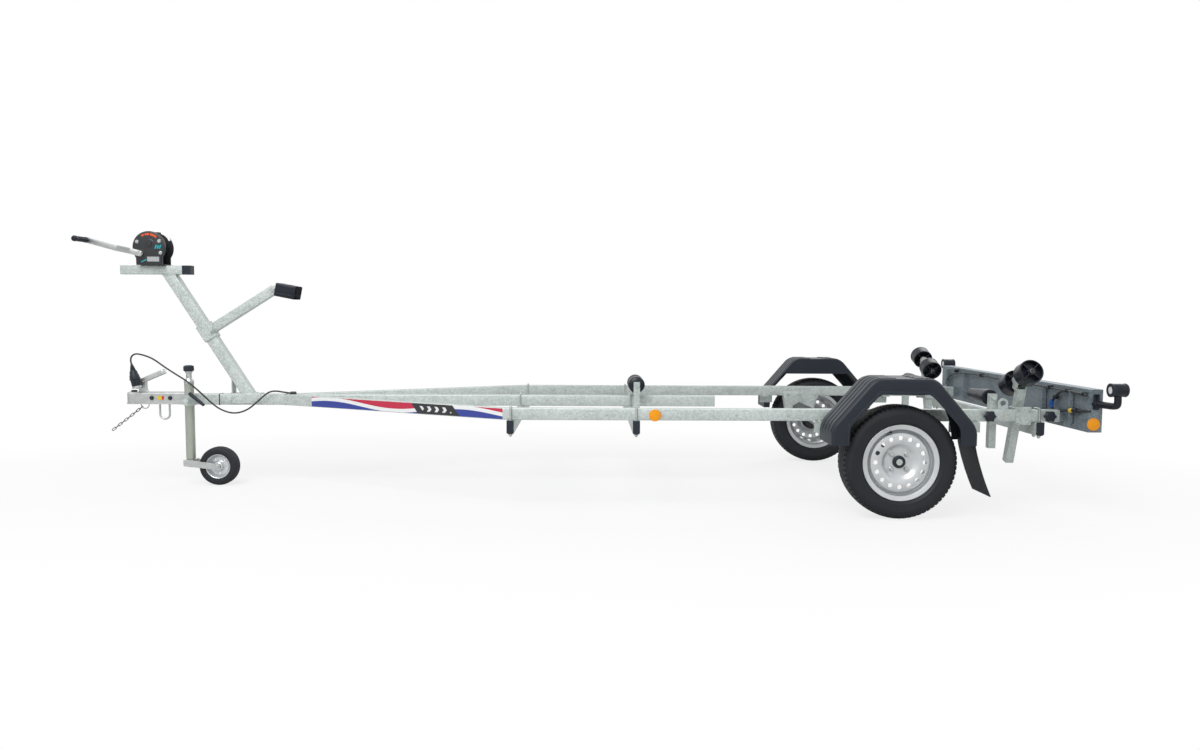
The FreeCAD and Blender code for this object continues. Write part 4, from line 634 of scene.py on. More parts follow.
def makeFender(side, word):
    low, high = sorted((side * fender["inner"], side * fender["outer"]))
    wall, bottom, outboard = fender["wall"], fender["bottom"], side * fender["outer"]
    face = outboard + side * fender["lipRise"]
    shell = fenderForm(low, high, 0, bottom, fender["round"], outboard)
    shell.cut(fenderPads(low, high), "UNION")
    lip = Form().plate(fenderSide(skirt, bottom, -fender["lip"]), outboard - side * wall, face)
    lip.bevel(2.0, 2, lambda edge: onFace(edge, "y", face) and most(edge, "z") > bottom + 5)
    shell.cut(lip, "UNION")
    shell.cut(fenderForm(low + wall, high - wall, wall, bottom - 10, fender["round"] - wall, outboard - side * wall))
    opening = Form().plate(fenderSide(skirt, bottom - 20), outboard - side * 2 * wall, outboard + side * 9)
    opening.bevel(skirt["bend"], 5, lambda edge: abs(spread(edge).y) > 5 and least(edge, "z") > 400)
    shell.cut(opening).cut(fenderArch(side * fender["inner"], side))
    shell.add("fender" + word, "black_plastic", "fender_" + word.lower(), sharp=28)


for side, word in sides:
    makeFender(side, word)
print("fenders made")


# mudflaps: curved sheets with a slanted lower edge and two screws
mudflap = {
    "near": 721, "far": 928, "thick": 4, "screw": 70, "slant": [(404, 100), (446, 100), (446, 150)],
    "line": [(337, 382), (338, 352), (346, 318), (360, 270), (378, 215), (399, 160), (420, 112)]
}


def makeMudflaps():
    form, tool = Form(), Form()
    line = mudflap["line"]
    for side in both:
        form.plate(line + [(x + mudflap["thick"], z) for x, z in reversed(line)], side * mudflap["near"],
                   side * mudflap["far"])
        tool.plate(mudflap["slant"], side * (mudflap["near"] - 21), side * (mudflap["far"] + 32))
    form.cut(tool)
    for side in both:
        for k in (-1, 1):
            y = side * (824 + mudflap["screw"] * k)
            form.rod(7, (336, y, 371), (333, y, 371), steps=16)
    form.add("mudflapSheets", "roller_rubber", "mudflaps", material="tyre_rubber")


makeMudflaps()
print("mudflaps made")


# roller wheels with a rim, web, boss and spokes on each face
twin = {"radius": 59, "width": 75, "near": 50, "wall": 7, "tilt": 21, "spokes": 4, "place": (675, 643.845, 660.397)}


def makeTwinRollers(side, word):
    form = Form()
    r, w, wall = twin["radius"], twin["width"], twin["wall"]
    for start in (twin["near"], -twin["near"] - w):
        end, near, far = start + w, start + w / 2 - 10, start + w / 2 + 10
        form.turned([(start, 10.05), (start, 18), (start + 2, 20), (near, 21), (near, r - 10), (start + 1, r - wall),
                     (start, r - 6), (start, r - 3), (start + 1, r - 1), (start + 4, r), (start + 12, r),
                     (start + 13, r - 0.8), (end - 13, r - 0.8), (end - 12, r), (end - 4, r), (end - 1, r - 1),
                     (end, r - 3), (end, r - 6), (end - 1, r - wall), (far, r - 10), (far, 21), (end - 2, 20),
                     (end, 18), (end, 10.05)], steps=64, ring=True)
        for low, high in ((start + 2, near + 1), (far - 1, end - 2)):
            for k in range(twin["spokes"]):
                form.box((18, low, -3), (r - wall, high, 3), turn=about("Y", 45 + 360 * k / twin["spokes"]))
    x, y, z = twin["place"]
    seat = ((x, side * y, z), about("X", side * twin["tilt"]))
    form.putAll(*seat).add("twinRollers" + word, "roller_rubber", "twin_rollers_" + word.lower(),
                           "twin_roller_" + word.lower())
    form = Form()
    for k in (-1, 1):
        form.bolt((0, 0, 0), (0, k, 0), (15, 125.5, 129.5), (9.5, 129, 138))
    form.putAll(*seat).add("rollerNuts" + word, "black_steel")


# tapered rollers with grooves, on the posts inside the rails
single = {"place": (544, 490, 560), "half": 112, "grooves": 5, "pitch": 26, "taper": 2.2}


def makeSingleRoller(side, word):
    form = Form()
    half = single["half"]
    line = [(-half, 10.05), (-half, 24), (3 - half, 27), (30 - half, 28)]
    for k in range(single["grooves"]):
        y, r = 34 - half + single["pitch"] * k, 28 + single["taper"] * k
        line += [(y, r), (y + 2, r - 1.6), (y + 4, r - 1.6), (y + 6, r + 0.5)]
    line += [(half - 34, 40), (half - 6, 40), (half, 36), (half, 10.05)]
    x, y, z = single["place"]
    form.turned([(side * along, out) for along, out in line], (x, side * y, z), steps=56, ring=True)
    form.add("singleRoller" + word, "roller_rubber", "single_roller_" + word.lower(), "single_roller_" + word.lower())


keel = {
    "place": (-1217, 0, 573),
    "half": [(100, 10.05), (100, 24), (98, 30), (94, 41), (90, 44.5), (84, 46), (74, 46), (66, 43), (48, 41.4),
        (46, 40), (42, 40), (40, 41.2), (24, 41), (22, 39.8), (18, 39.8), (16, 41)]
}


def makeKeelRoller():
    form = Form().turned(mirrored(keel["half"]), keel["place"], steps=64, ring=True)
    form.add("keelRoller", "roller_rubber", "keel_roller", "keel_roller")


for side, word in sides:
    makeTwinRollers(side, word)
    makeSingleRoller(side, word)
makeKeelRoller()
print("rollers made")


# winch: rounded gear cover, guard plate with a curved window, drum with wound strap
winch = {
    "x": -3909, "z": 1342.5, "coverX": -3917, "coverZ": 1322, "radius": 89, "waist": 0.80, "foot": 1224.5, "cover": 13,
    "inner": 45, "plate": 4, "crankX": -3960, "crankZ": 1286.5,
    "crankBoss": [(-14, 0), (-14, 22), (-11, 31), (-6, 34), (20, 34)],
    "drumBoss": [(-16, 0), (-16, 20), (-13, 24), (5, 24)],
    "drum": [(-66, 0), (-66, 9.9), (-43, 10), (-43, 62), (-40, 62), (-40, 40), (40, 40), (40, 62), (43, 62), (43, 10),
        (58, 9.9), (58, 0)],
    "strap": [(-33, 40.2), (-33, 50), (-32, 51), (32, 51), (33, 50), (33, 40.2)]
}
coverFace = -winch["inner"] - winch["plate"] - winch["cover"]


def winchSide(radius):
    x, z, half = winch["coverX"], winch["coverZ"], radius * winch["waist"]
    return [(x - half, winch["foot"]), (x + half, winch["foot"])] + arc(x, z, radius, -36, 216, 44)


def strapCloth():
    finish = Finish("strapCloth")
    weave = finish.waves("Y", 160.0)
    return finish.wear(finish.blend(weave, (0.015, 0.016, 0.018), (0.05, 0.05, 0.055)), 0.7 + weave * 0.1,
                       finish.bump(weave, 0.3, 0.001))


def makeWinch():
    x, z, inner = winch["x"], winch["z"], winch["inner"]
    side = inner + winch["plate"]
    form = Form().plate(winchSide(winch["radius"]), coverFace, -inner)
    form.bevel(7, 4, lambda edge: most(edge, "y") < coverFace + 1)
    form.turned(winch["crankBoss"], (winch["crankX"] - 4, -side, winch["crankZ"]), steps=40)
    form.turned(winch["drumBoss"], (x, -side, z), steps=40)
    form.box((x - 70, -inner, winch["foot"]), (x + 70, inner, winch["foot"] + 4.5))
    guard, window = Form(), Form()
    guard.plate(winchSide(winch["radius"] + 2), inner, side)
    for start, end in ((20, 78), (102, 160)):
        window.plate(arc(x, z, 72, start, end) + arc(x, z, 46, end, start), 30, 60)
    form.join(guard.cut(window)).add("winchFrame", "black_steel", "winch_frame")
    form = Form().turned(winch["drum"], (x, 0, z), steps=56)
    form.rod(14, (x, -69, z), (x, -62, z), steps=6)
    form.add("winchDrum", "black_steel", "winch_drum", "winch_drum")
    form = Form().turned(winch["strap"], (x, 0, z), steps=56, ring=True)
    materials["strap"] = strapCloth()
    form.add("woundStrap", "cable_sheath", body="winch_drum", material="strap")


# crank: a bent flat bar on its shaft, and a ribbed grip
crank = {"reach": 262, "half": 16, "angle": 15, "near": 68, "far": 124, "thick": 8, "ribs": 9, "pitch": 9}


def makeCrank():
    x, z = winch["crankX"], winch["crankZ"]
    reach, half, near, far, thick = [crank[key] for key in ("reach", "half", "near", "far", "thick")]
    bar, ends = Form(), Form()
    bar.plate([(-half, near), (58, near), (104, far), (reach + half, far), (reach + half, far + thick),
               (100, far + thick), (54, near + thick), (-half, near + thick)], -half, half, "XY")
    ends.plate(arc(0, 0, half, 90, 270, 12) + arc(reach, 0, half, -90, 90, 12), 40, 160)
    bar.cut(ends, "INTERSECT").bevel(1.6, 2, lambda edge: edge.calc_face_angle(0) > 0.9)
    bar.putAll((x, 0, z), about("Y", crank["angle"]) @ about("Z", 180))
    form = Form().join(bar)
    form.rod(9.5, (x, 57, z), (x, -78, z))
    form.rod(15, (x, -76, z), (x, -84, z), steps=6)
    tip = Vector((x, 0, z)) + about("Y", crank["angle"]) @ Vector((-reach, 0, 0))
    form.rod(6, tip + Vector((0, -far, 0)), tip + Vector((0, -140, 0)), steps=16)
    form.add("winchCrank", "zinc_plated_steel", "winch_crank", "winch_crank")
    grip = [(-139, 0), (-139, 8), (-139, 13), (-142, 15.5), (-150, 16), (-158, 14.5)]
    for k in range(crank["ribs"]):
        y = -162 - crank["pitch"] * k
        grip += [(y, 14.2), (y - 2, 12.9), (y - 6, 12.9), (y - 8, 14.2)]
    grip += [(-248, 15.5), (-258, 15.8), (-263, 13), (-265, 8), (-265, 0)]
    Form().turned(grip, tip, steps=32).add("crankGrip", "roller_rubber", "crank_grip", "winch_crank")


# marks, plate and bolts on the cover's face, placed from the cover's middle
cover = {
    "bars": [(34, -8), (46, -8), (58, -8)], "stroke": [(-40, -84), (-12, -70), (-14, -65), (-42, -79)],
    "arcs": [(50, 80), (84, 104), (108, 120)], "band": (66, 77), "label": ((-8, -78), (58, -52)),
    "bolts": [(66, -30), (-62, 30), (60, 34)]
}


def makeCoverMarks():
    x, z = winch["coverX"], winch["coverZ"]
    under, over = coverFace + 0.2, coverFace - 0.5
    form = Form()
    for a, b in cover["bars"]:
        form.plate([(x + a, z + b), (x + a + 7, z + b), (x + a + 14, z + b + 20), (x + a + 7, z + b + 20)], over, under)
    form.plate([(x + a, z + b) for a, b in cover["stroke"]], over, under)
    form.add("coverTrim", "black_steel", material="cyan")
    form = Form()
    near, far = cover["band"]
    for start, end in cover["arcs"]:
        form.plate(arc(x, z, far, start, end, 12) + arc(x, z, near, end, start, 12), over, under)
    form.add("coverMarks", "black_steel", material="orange")
    form = Form()
    (a, b), (c, d) = cover["label"]
    form.box((x + a, over, z + b), (x + c, under, z + d))
    form.add("coverLabel", "black_steel", material="grey")
    form = Form()
    for a, b in cover["bolts"]:
        form.bolt((x + a, coverFace, z + b), (0, -1, 0), (10, -1, 1), (7, -1, 4), 20)
    form.add("coverBolts", "zinc_plated_steel")


makeWinch()
makeCrank()
makeCoverMarks()
print("winch made")


# bow block with a vee and ribs, the bow arm with its bolts, and the post's foot and sleeve
post = {
    "x": -3404, "z": 506.5, "lean": 32.3, "half": 30.1, "armUp": 414, "armEnd": 444, "armHalf": 25,
    "sleeve": (366, 462), "sleeveHalf": 36.5, "sleeveBolt": (-3588, 866), "armBolt": (-3250, 1093.6),
    "footBolts": (-3495, -3348), "footBoltHeight": 480, "strutHalf": 30,
    "strut": [(-3492, 508), (-3486.5, 508), (-3486.5, 585), (-3492, 594)],
    "saddle": ((-3512, -34.5, 452), (-3330, 34.5, 511)), "saddleHollow": ((-3520, -30.2, 440), (-3320, 30.2, 506.7))
}
bow = {"place": (-3243.2, 0, 1097.9), "tilt": 11, "half": 37, "ribs": (24, 112, 57), "ribLevels": (-26, 18),
       "outline": [(13, -58), (128, -58), (130, -50), (74, -8), (68, 0), (74, 8), (130, 50), (128, 58), (13, 58)]}
postBase = (post["x"], 0, post["z"])
lean = about("Y", -post["lean"])


def makeBow():
    tilt = about("Y", bow["tilt"])
    near, far, out = bow["ribs"]
    form = Form().plate(bow["outline"], -bow["half"], bow["half"], "XY", bow["place"], tilt)
    form.bevel(6, 3, lambda edge: edge.calc_face_angle_signed(0) > 0.6)
    for side in both:
        for z in bow["ribLevels"]:
            form.box((near, side * out - 2, z), (far, side * out + 2, z + 8), bow["place"], tilt)
    form.add("bowBlock", "roller_rubber", "bow_block")
    form = Form()
    x, z = post["armBolt"]
    for side in both:
        form.bolt((x, 0, z), (0, side, 0), (15, 24, 27.5), (10, 27, 34))
    form.add("armBolts", "zinc_plated_steel")
    form = Form()
    end, half = post["armEnd"], post["armHalf"]
    start = Vector(postBase) + lean @ Vector((0, 0, post["armUp"]))
    form.plate([(36.3, -half), (end, -half)] + arc(end, 0, half, -90, 90)[1:-1] + [(end, half), (36.3, half)],
               -half, half, "XZ", start, lean)
    form.bevel(3.5, 3, lambda edge: abs(spread(edge).y) < 1)
    form.add("bowArm", "galvanised_steel", "bow_arm")


def makePostFoot():
    form = Form().plate(post["strut"], -post["strutHalf"], post["strutHalf"])
    form.bevel(1.2, 2, lambda edge: edge.calc_length() > 20)
    saddle = Form().box(*post["saddle"]).bevel(4, 3, lambda edge: abs(spread(edge).x) > 100)
    form.join(saddle.cut(Form().box(*post["saddleHollow"])))
    (low, high), half, core = post["sleeve"], post["sleeveHalf"], post["half"]
    sleeve = Form().box((-half, -half, low), (half, half, high), postBase, lean)
    sleeve.bevel(4, 3, lambda edge: edge.calc_length() > 90)
    sleeve.cut(Form().box((-core, -core, low - 16), (core, core, high + 18), postBase, lean))
    x, z = post["sleeveBolt"]
    form.join(sleeve.bolt((x, 0, z), (0, -1, 0), (13, 34, 52), (9.5, 50, 62), 20))
    for x in post["footBolts"]:
        for side in both:
            form.bolt((x, 0, post["footBoltHeight"]), (0, side, 0), (14, 34, 37), (9.5, 36.5, 44))
    form.add("postFoot", "galvanised_steel", "post_fittings")


# weld beads where the post, its head and the bow arm join
welds = {"radius": 3.2, "corners": ((-1, -1), (1, -1), (1, 1), (-1, 1)), "half": (35.6, 30.5), "arm": 25.5,
         "top": (668, 1174), "foot": (3, 511)}


def makeWelds():
    (a, b), (up, top), (shift, foot) = welds["half"], welds["top"], welds["foot"]
    x = post["x"] - up * math.tan(math.radians(post["lean"]))
    upper = [(x + k * a, j * b, top) for k, j in welds["corners"]]
    lower = [(post["x"] + shift + k * a, j * b, foot) for k, j in welds["corners"]]
    arm = [Vector(postBase) + lean @ Vector((37, j * welds["arm"], post["armUp"] + k * welds["arm"]))
           for k, j in welds["corners"]]
    sweep("postWelds", [upper, lower, arm], welds["radius"], "galvanised_steel", closed=True)


makeBow()
makePostFoot()
makeWelds()
print("winch post made")


# coupling head with its recess and lower flange, its bolts and labels, and the lever on its pedestal
head = {
    "nose": -4049, "half": 36, "rear": -3750, "low": 449, "high": 516, "flange": 39, "flangeRear": -3812,
    "under": 440, "tube": ((-3790, -30.1, 440), (-3740, 30.1, 506.6)), "ball": 25.4, "ballTop": 470, "mouth": 30,
    "mouthBox": ((-3798, -31, 440), (-3740, 31, 460)), "recess": ((-3958, 34.4, 466), (-3772, 40, 501)),
    "bolts": (-3936, -3833), "boltHeight": 484, "cap": [(0, 12), (0, 16), (7, 17), (9, 14)],
    "labelFace": ((-34.9, 474), (-34.2, 495)),
    "labels": (("headLabelYellow", "yellow", -3905, -3880), ("headLabelRed", "red", -3880, -3868))
}
lever = {
    "place": (-4008, 0, 562), "pitch": -23, "reach": 138, "half": 18, "high": 26, "wall": 3, "roof": 4, "pin": 5,
    "pinPlace": (-3992, 574), "pinHalf": 21, "pedestalHalf": 14.8,
    "pedestal": [(-4017, 514), (-3972, 514), (-3976, 524), (-3980, 540), (-3980, 578), (-4002, 571), (-4015, 562)]
}


def makeHead():
    nose, rear, half, low, high = [head[key] for key in ("nose", "rear", "half", "low", "high")]
    form = Form().plate(arc(nose, 0, half, 90, 270, 24) + [(rear, -half), (rear, half)], low, high, "XY")
    form.bevel(9, 4, lambda edge: least(edge, "z") > high - 1 and least(edge, "x") < rear - 1)
    form.bevel(13, 4, lambda edge: most(edge, "z") < low + 1 and most(edge, "x") < nose + 4)
    under = (nose, 0, head["under"])
    form.cut(Form().box(*head["tube"]).rod(head["ball"], under, (nose, 0, head["ballTop"]), steps=40))
    hollow = Form()
    for side in both:
        hollow.box(*[(x, side * y, z) for x, y, z in head["recess"]])
    form.cut(hollow)
    out, rear = head["flange"], head["flangeRear"]
    flange = Form().plate(arc(nose, 0, out, 90, 270, 24) + [(rear, -out), (rear, out)], low + 0.2, low + 6, "XY")
    flange.cut(Form().rod(head["mouth"], under, (nose, 0, low + 11), steps=40).box(*head["mouthBox"]))
    form.join(flange).add("couplingHead", "zinc_plated_steel", "coupling_head")
    form = Form()
    for x in head["bolts"]:
        for side in both:
            form.bolt((x, 0, head["boltHeight"]), (0, side, 0), (12, 34, 38), (8.5, 37.5, 45), 20)
    form.turned(head["cap"], (nose, 0, high), about("X", 90), steps=24)
    form.add("headBolts", "black_steel")
    for name, colour, start, end in head["labels"]:
        one, other = [(x, *corner) for x, corner in zip((start, end), head["labelFace"])]
        Form().box(one, other).add(name, "zinc_plated_steel", material=colour)


def leverOutline(inset):
    reach, half = lever["reach"], lever["half"] - inset
    return [(inset, -half), (reach, -half)] + arc(reach, 0, half, -90, 90, 14)[1:-1] + [(reach, half), (inset, half)]


def makeLever():
    high, half = lever["high"], lever["pedestalHalf"]
    form = Form().plate(leverOutline(0), 0, high, "XY")
    form.bevel(6, 3, lambda edge: least(edge, "z") > high - 1)
    form.cut(Form().plate(leverOutline(lever["wall"]), -5, high - lever["roof"], "XY"))
    form.putAll(lever["place"], about("Y", lever["pitch"])).join(Form().plate(lever["pedestal"], -half, half))
    (x, z), out = lever["pinPlace"], lever["pinHalf"]
    form.rod(lever["pin"], (x, -out, z), (x, out, z), steps=20)
    form.add("couplingLever", "zinc_plated_steel", "coupling_lever")


# safety chain of round wire, hanging in a line from its eye
chain = {"links": 10, "pitch": 21.8, "first": 29.7, "slope": 38, "wire": 2.2, "bend": 5.5, "half": 7.7,
         "eye": (-3990, 0, 443)}


def makeChain():
    links = []
    slope, half, bend = about("Y", -chain["slope"]), chain["half"], chain["bend"]
    for k in range(chain["links"]):
        centre = Vector(chain["eye"]) + slope @ Vector((-chain["first"] - chain["pitch"] * k, 0, 0))
        turn = slope @ about("X", 90 * (k % 2))
        loop = arc(half, 0, bend, -90, 90, 10) + arc(-half, 0, bend, 90, 270, 10)
        links.append([centre + turn @ Vector((a, b, 0)) for a, b in loop])
    sweep("safetyChain", links, chain["wire"], "zinc_plated_steel", "safety_chain", "chain", closed=True)


makeHead()
makeLever()
makeChain()
print("coupling made")


# jockey wheel: grooved tyre, dished rim, screw head with its black knob, clamp handle
jockey = {
    "place": (-3552, -66, 107.5), "leg": (-3712, -66, 570), "holes": 5, "circle": 41, "ribs": 10,
    "tyre": [(25, 63), (30, 68), (32, 74), (33, 84), (32.6, 93), (29, 101), (23, 105), (16, 107), (8, 107.5), (7, 105),
        (3, 105), (2, 107.5)],
    "rim": [(30, 10.05), (30, 19), (27, 23), (12, 27), (7, 33), (7, 50), (14, 58), (26, 62), (30, 65), (31, 67.5),
        (29, 68), (24, 64.5)],
    "screw": [(0, 0), (0, 25.5), (4, 26.5), (14, 26.5), (18, 24), (30, 15), (58, 14.5), (60, 19), (66, 20), (70, 20),
        (70, 0)],
    "knob": [(68, 0), (68, 24), (71, 27), (76, 27.5), (94, 26), (99, 22), (101, 15), (102, 0)],
    "stub": (-3676, -134, 512), "bar": ((-3678, -134, 516), (-3608, -136, 458))
}


def makeJockey():
    place, leg, upright = jockey["place"], jockey["leg"], about("X", 90)
    form = Form().turned(mirrored(jockey["tyre"]), place, steps=72, ring=True)
    form.add("jockeyTyre", "tyre_rubber", "jockey_tyre", "jockey_wheel")
    form, holes = Form(), Form()
    form.turned(mirrored(jockey["rim"]), place, steps=64, ring=True)
    for k in range(jockey["holes"]):
        spot = Vector(place) + about("Y", 20 + 360 * k / jockey["holes"]) @ Vector((jockey["circle"], 0, 0))
        holes.rod(6, spot - Vector((0, 20, 0)), spot + Vector((0, 20, 0)), steps=16)
    form.cut(holes).add("jockeyRim", "rim_paint", "jockey_rim", "jockey_wheel")
    Form().turned(jockey["screw"], leg, upright, steps=40).add("jockeyScrew", "zinc_plated_steel", "jockey_screw")
    form = Form().turned(jockey["knob"], leg, upright, steps=40)
    for k in range(jockey["ribs"]):
        turn = about("Z", 360 * k / jockey["ribs"])
        form.rod(3.2, Vector(leg) + turn @ Vector((25.5, 0, 73)), Vector(leg) + turn @ Vector((24.5, 0, 96)), steps=10)
    stub, (start, end) = Vector(jockey["stub"]), jockey["bar"]
    form.rod(8, stub, stub + Vector((0, 22, -6)), steps=20)
    form.rod(10.5, start, end, far=8.5)
    form.ball(10.6, start)
    form.ball(8.6, end)
    form.add("jockeyHandles", "black_plastic")


makeJockey()
print("jockey wheel made")


# ribbed clamp knobs on the rails
knobs = {"at": (500, 800), "y": 686, "z": 476.5, "lobes": 6, "circle": 22, "lobe": 6.5,
         "profile": [(0, 0), (0, 11), (10, 11), (13, 20), (17, 24), (30, 25), (34, 20), (34, 0)]}


def makeKnobs():
    form = Form()
    for side in both:
        for x in knobs["at"]:
            seat = ((x, side * knobs["y"], knobs["z"]), outward(side))
            knob = Form().turned(knobs["profile"], steps=32)
            for k in range(knobs["lobes"]):
                spot = about("Y", 360 * k / knobs["lobes"]) @ Vector((knobs["circle"], 0, 0))
                knob.rod(knobs["lobe"], spot + Vector((0, 14, 0)), spot + Vector((0, 33, 0)), steps=16)
            form.join(knob.putAll(*seat))
    form.add("clampKnobs", "black_plastic", "clamp_knobs")


# marker lamps: heads on bent rubber stalks, with bezels and lenses
marker = {"y": 1003, "z": 634, "ends": (927, 997), "radius": 31, "foot": ((903, 902, 532), (932, 909, 606)),
          "boss": ((917, 902, 559), (919, 922, 559)), "bossRadii": (20, 17), "stalk": 16.5,
          "stalkLine": [(917, 905, 559), (930, 935, 559), (952, 985, 556), (964, 1006, 560), (962, 1004, 590),
                        (961, 1003, 625)],
          "bezels": ([(934, 18), (937, 19), (938, 22), (936, 30), (931, 32), (924, 32), (924, 18)],
                     [(990, 26), (997, 26), (1000, 28), (999, 30), (995, 32), (990, 32)]),
          "front": [(935, 0), (935, 14), (934, 18), (926, 19), (926, 0)],
          "rear": [(1004, 0), (1003, 12), (999, 25), (996, 27), (996, 0)]}


def makeMarkers():
    form = Form()
    y, z, (near, far), (wide, narrow) = [marker[key] for key in ("y", "z", "ends", "bossRadii")]
    for side in both:
        form.rod(marker["radius"], (near, side * y, z), (far, side * y, z), steps=40)
        foot, boss = [[(a, side * b, c) for a, b, c in marker[key]] for key in ("foot", "boss")]
        form.box(*foot).rod(wide, *boss, far=narrow)
    form.bevel(2.5, 2, lambda edge: edge.calc_face_angle(0) > 1.2)
    form.add("markerHeads", "roller_rubber", "marker_stalks")
    lines = [[(a, side * b, c) for a, b, c in marker["stalkLine"]] for side in both]
    sweep("markerStalks", lines, marker["stalk"], "roller_rubber", order=4)
    bezel, front, rear = Form(), Form(), Form()
    for side in both:
        seat = ((0, side * y, z), about("Z", -90))
        for profile in marker["bezels"]:
            bezel.turned(profile, *seat, steps=40, ring=True)
        front.turned(marker["front"], *seat, steps=40)
        rear.turned(marker["rear"], *seat, steps=40)
    bezel.add("markerBezels", "black_plastic")
    front.add("markerFrontLenses", "clear_lens", "marker_front_lenses")
    rear.add("markerRearLenses", "red_lens", "marker_rear_lenses")


# rear lamps of three fields each, and round reflectors
lamps = {"ends": (630, 840), "low": 480, "high": 570, "front": 887, "rear": 908,
         "fields": {"red_lens": (697, 776), "amber_lens": (632, 694), "clear_lens": (779, 838)}}
reflector = {
    "places": ((-1158, 686, 472.5), (909, 902, 462)),
    "profile": [(-0.5, 0), (-0.5, 27), (0, 30), (4, 30), (6, 29), (7, 26.5), (6, 25.5), (7.5, 20), (8.7, 10), (9, 0)]
}


def makeLamps():
    housing, (start, end), low, high = Form(), lamps["ends"], lamps["low"], lamps["high"]
    for side in both:
        housing.box((lamps["front"], side * start, low), (lamps["rear"], side * end, high))
    housing.bevel(4, 3, lambda edge: True)
    housing.add("lampHousings", "black_plastic")
    for slotName, (start, end) in lamps["fields"].items():
        form = Form()
        for side in both:
            form.box((lamps["rear"] - 4, side * start, low + 3), (lamps["rear"] + 20, side * end, high - 3))
        form.bevel(6, 4, lambda edge: least(edge, "x") > lamps["rear"] + 12)
        form.add("lampField" + slotName.split("_")[0].title(), slotName,
                 "tail_lamps" if slotName == "red_lens" else None)
    form = Form()
    for side in both:
        for x, y, z in reflector["places"]:
            form.turned(reflector["profile"], (x, side * y, z), outward(side))
    form.add("roundReflectors", "amber_lens", "reflectors")


makeKnobs()
makeMarkers()
makeLamps()
print("knobs and lamps made")


# wiring on the lamp board: a loop with a blue sleeve and a yellow connector, a run along the top, clips
wiring = {
    "x": 868,
    "loop": [(0, -908, 601), (0, -880, 604), (0, -840, 602), (0, -780, 606), (0, -728, 607), (0, -690, 604),
        (0, -655, 592), (0, -615, 564), (-6, -590, 534), (-6, -596, 512), (-4, -625, 498), (-4, -671, 500),
        (-2, -730, 510), (0, -790, 516), (0, -823, 519), (14, -860, 521), (22, -905, 524)],
    "sleeve": [(-5, -600, 549), (-7, -590, 528), (-7, -597, 511)],
    "run": [(-2, -700, 604), (0, -560, 611), (-2, -380, 606), (0, -180, 612), (-2, 40, 606), (0, 260, 612),
        (-2, 480, 606), (0, 640, 600), (-6, 760, 560), (-2, 800, 520), (16, 812, 505)],
    "loopClips": ((-728, 607), (-615, 564), (-671, 500), (-880, 604)), "runClips": (-560, -180, 260, 640)
}


def makeWiring():
    x = wiring["x"]
    loop, sleeve, run = [[(x + a, y, z) for a, y, z in wiring[key]] for key in ("loop", "sleeve", "run")]
    sweep("boardWiring", [loop], 6.5, "cable_sheath", order=4)
    sweep("boardSleeve", [sleeve], 10.5, "cable_sheath", material="blue", order=3)
    sweep("boardCable", [run], 4.5, "cable_sheath", order=4)
    Form().rod(12, (x, -768, 513), (x, -802, 517), steps=20).add("boardConnector", "cable_sheath", material="yellow")
    form = Form().rod(16, (x, -804, 517), (x, -828, 520), far=11)
    for y, z in wiring["loopClips"]:
        form.box((x - 9, y - 4, z - 9), (886, y + 4, z + 9))
    form.add("boardClips", "black_plastic")
    form = Form()
    for y in wiring["runClips"]:
        form.box((x - 10, y - 4, 600), (885.5, y + 4, 620))
    form.add("cableClips", "black_plastic")


# brackets on the lamp board's inner face and screws at its ends
brackets = {"at": (735, 470), "width": 34, "low": 448, "high": 612, "face": (881, 885.5), "web": (860, 884),
            "screws": (470, 590), "screwEnds": (882, 874), "endScrews": (450, 604), "endScrewPlace": (917, 902, 906)}


def makeBrackets():
    form = Form()
    low, high, (front, rear), (edge, root) = [brackets[key] for key in ("low", "high", "face", "web")]
    (start, end), (x, near, tip) = brackets["screwEnds"], brackets["endScrewPlace"]
    for side in both:
        for y in brackets["at"]:
            far = y + brackets["width"]
            form.box((front, side * y, low), (rear, side * far, high))
            form.box((edge, side * (far - 3), low), (root, side * far, high))
            for z in brackets["screws"]:
                form.rod(7, (start, side * (y + 14), z), (end, side * (y + 14), z), steps=6)
        for z in brackets["endScrews"]:
            form.rod(6, (x, side * near, z), (x, side * tip, z), steps=6)
    # the brackets share the board's darker copy of galvanised, a painted shade
    form.add("boardBrackets", "galvanised_steel", material="board")


makeWiring()
makeBrackets()
print("lamp board fitted out")


# printed bands on the rails' slanted faces: sweeping fields of four colours
stripe = {
    "start": -3016, "end": -1912, "low": 450, "high": 503, "waves": 9.0, "swing": 0.72, "edge": (0.34, 0.38),
    "red": (0.50, 0.01, 0.05), "blue": (0.02, 0.04, 0.28), "white": (0.78, 0.79, 0.80), "black": (0.012, 0.013, 0.016),
    "mark": (0.72, 0.73, 0.74), "marks": 26.0
}


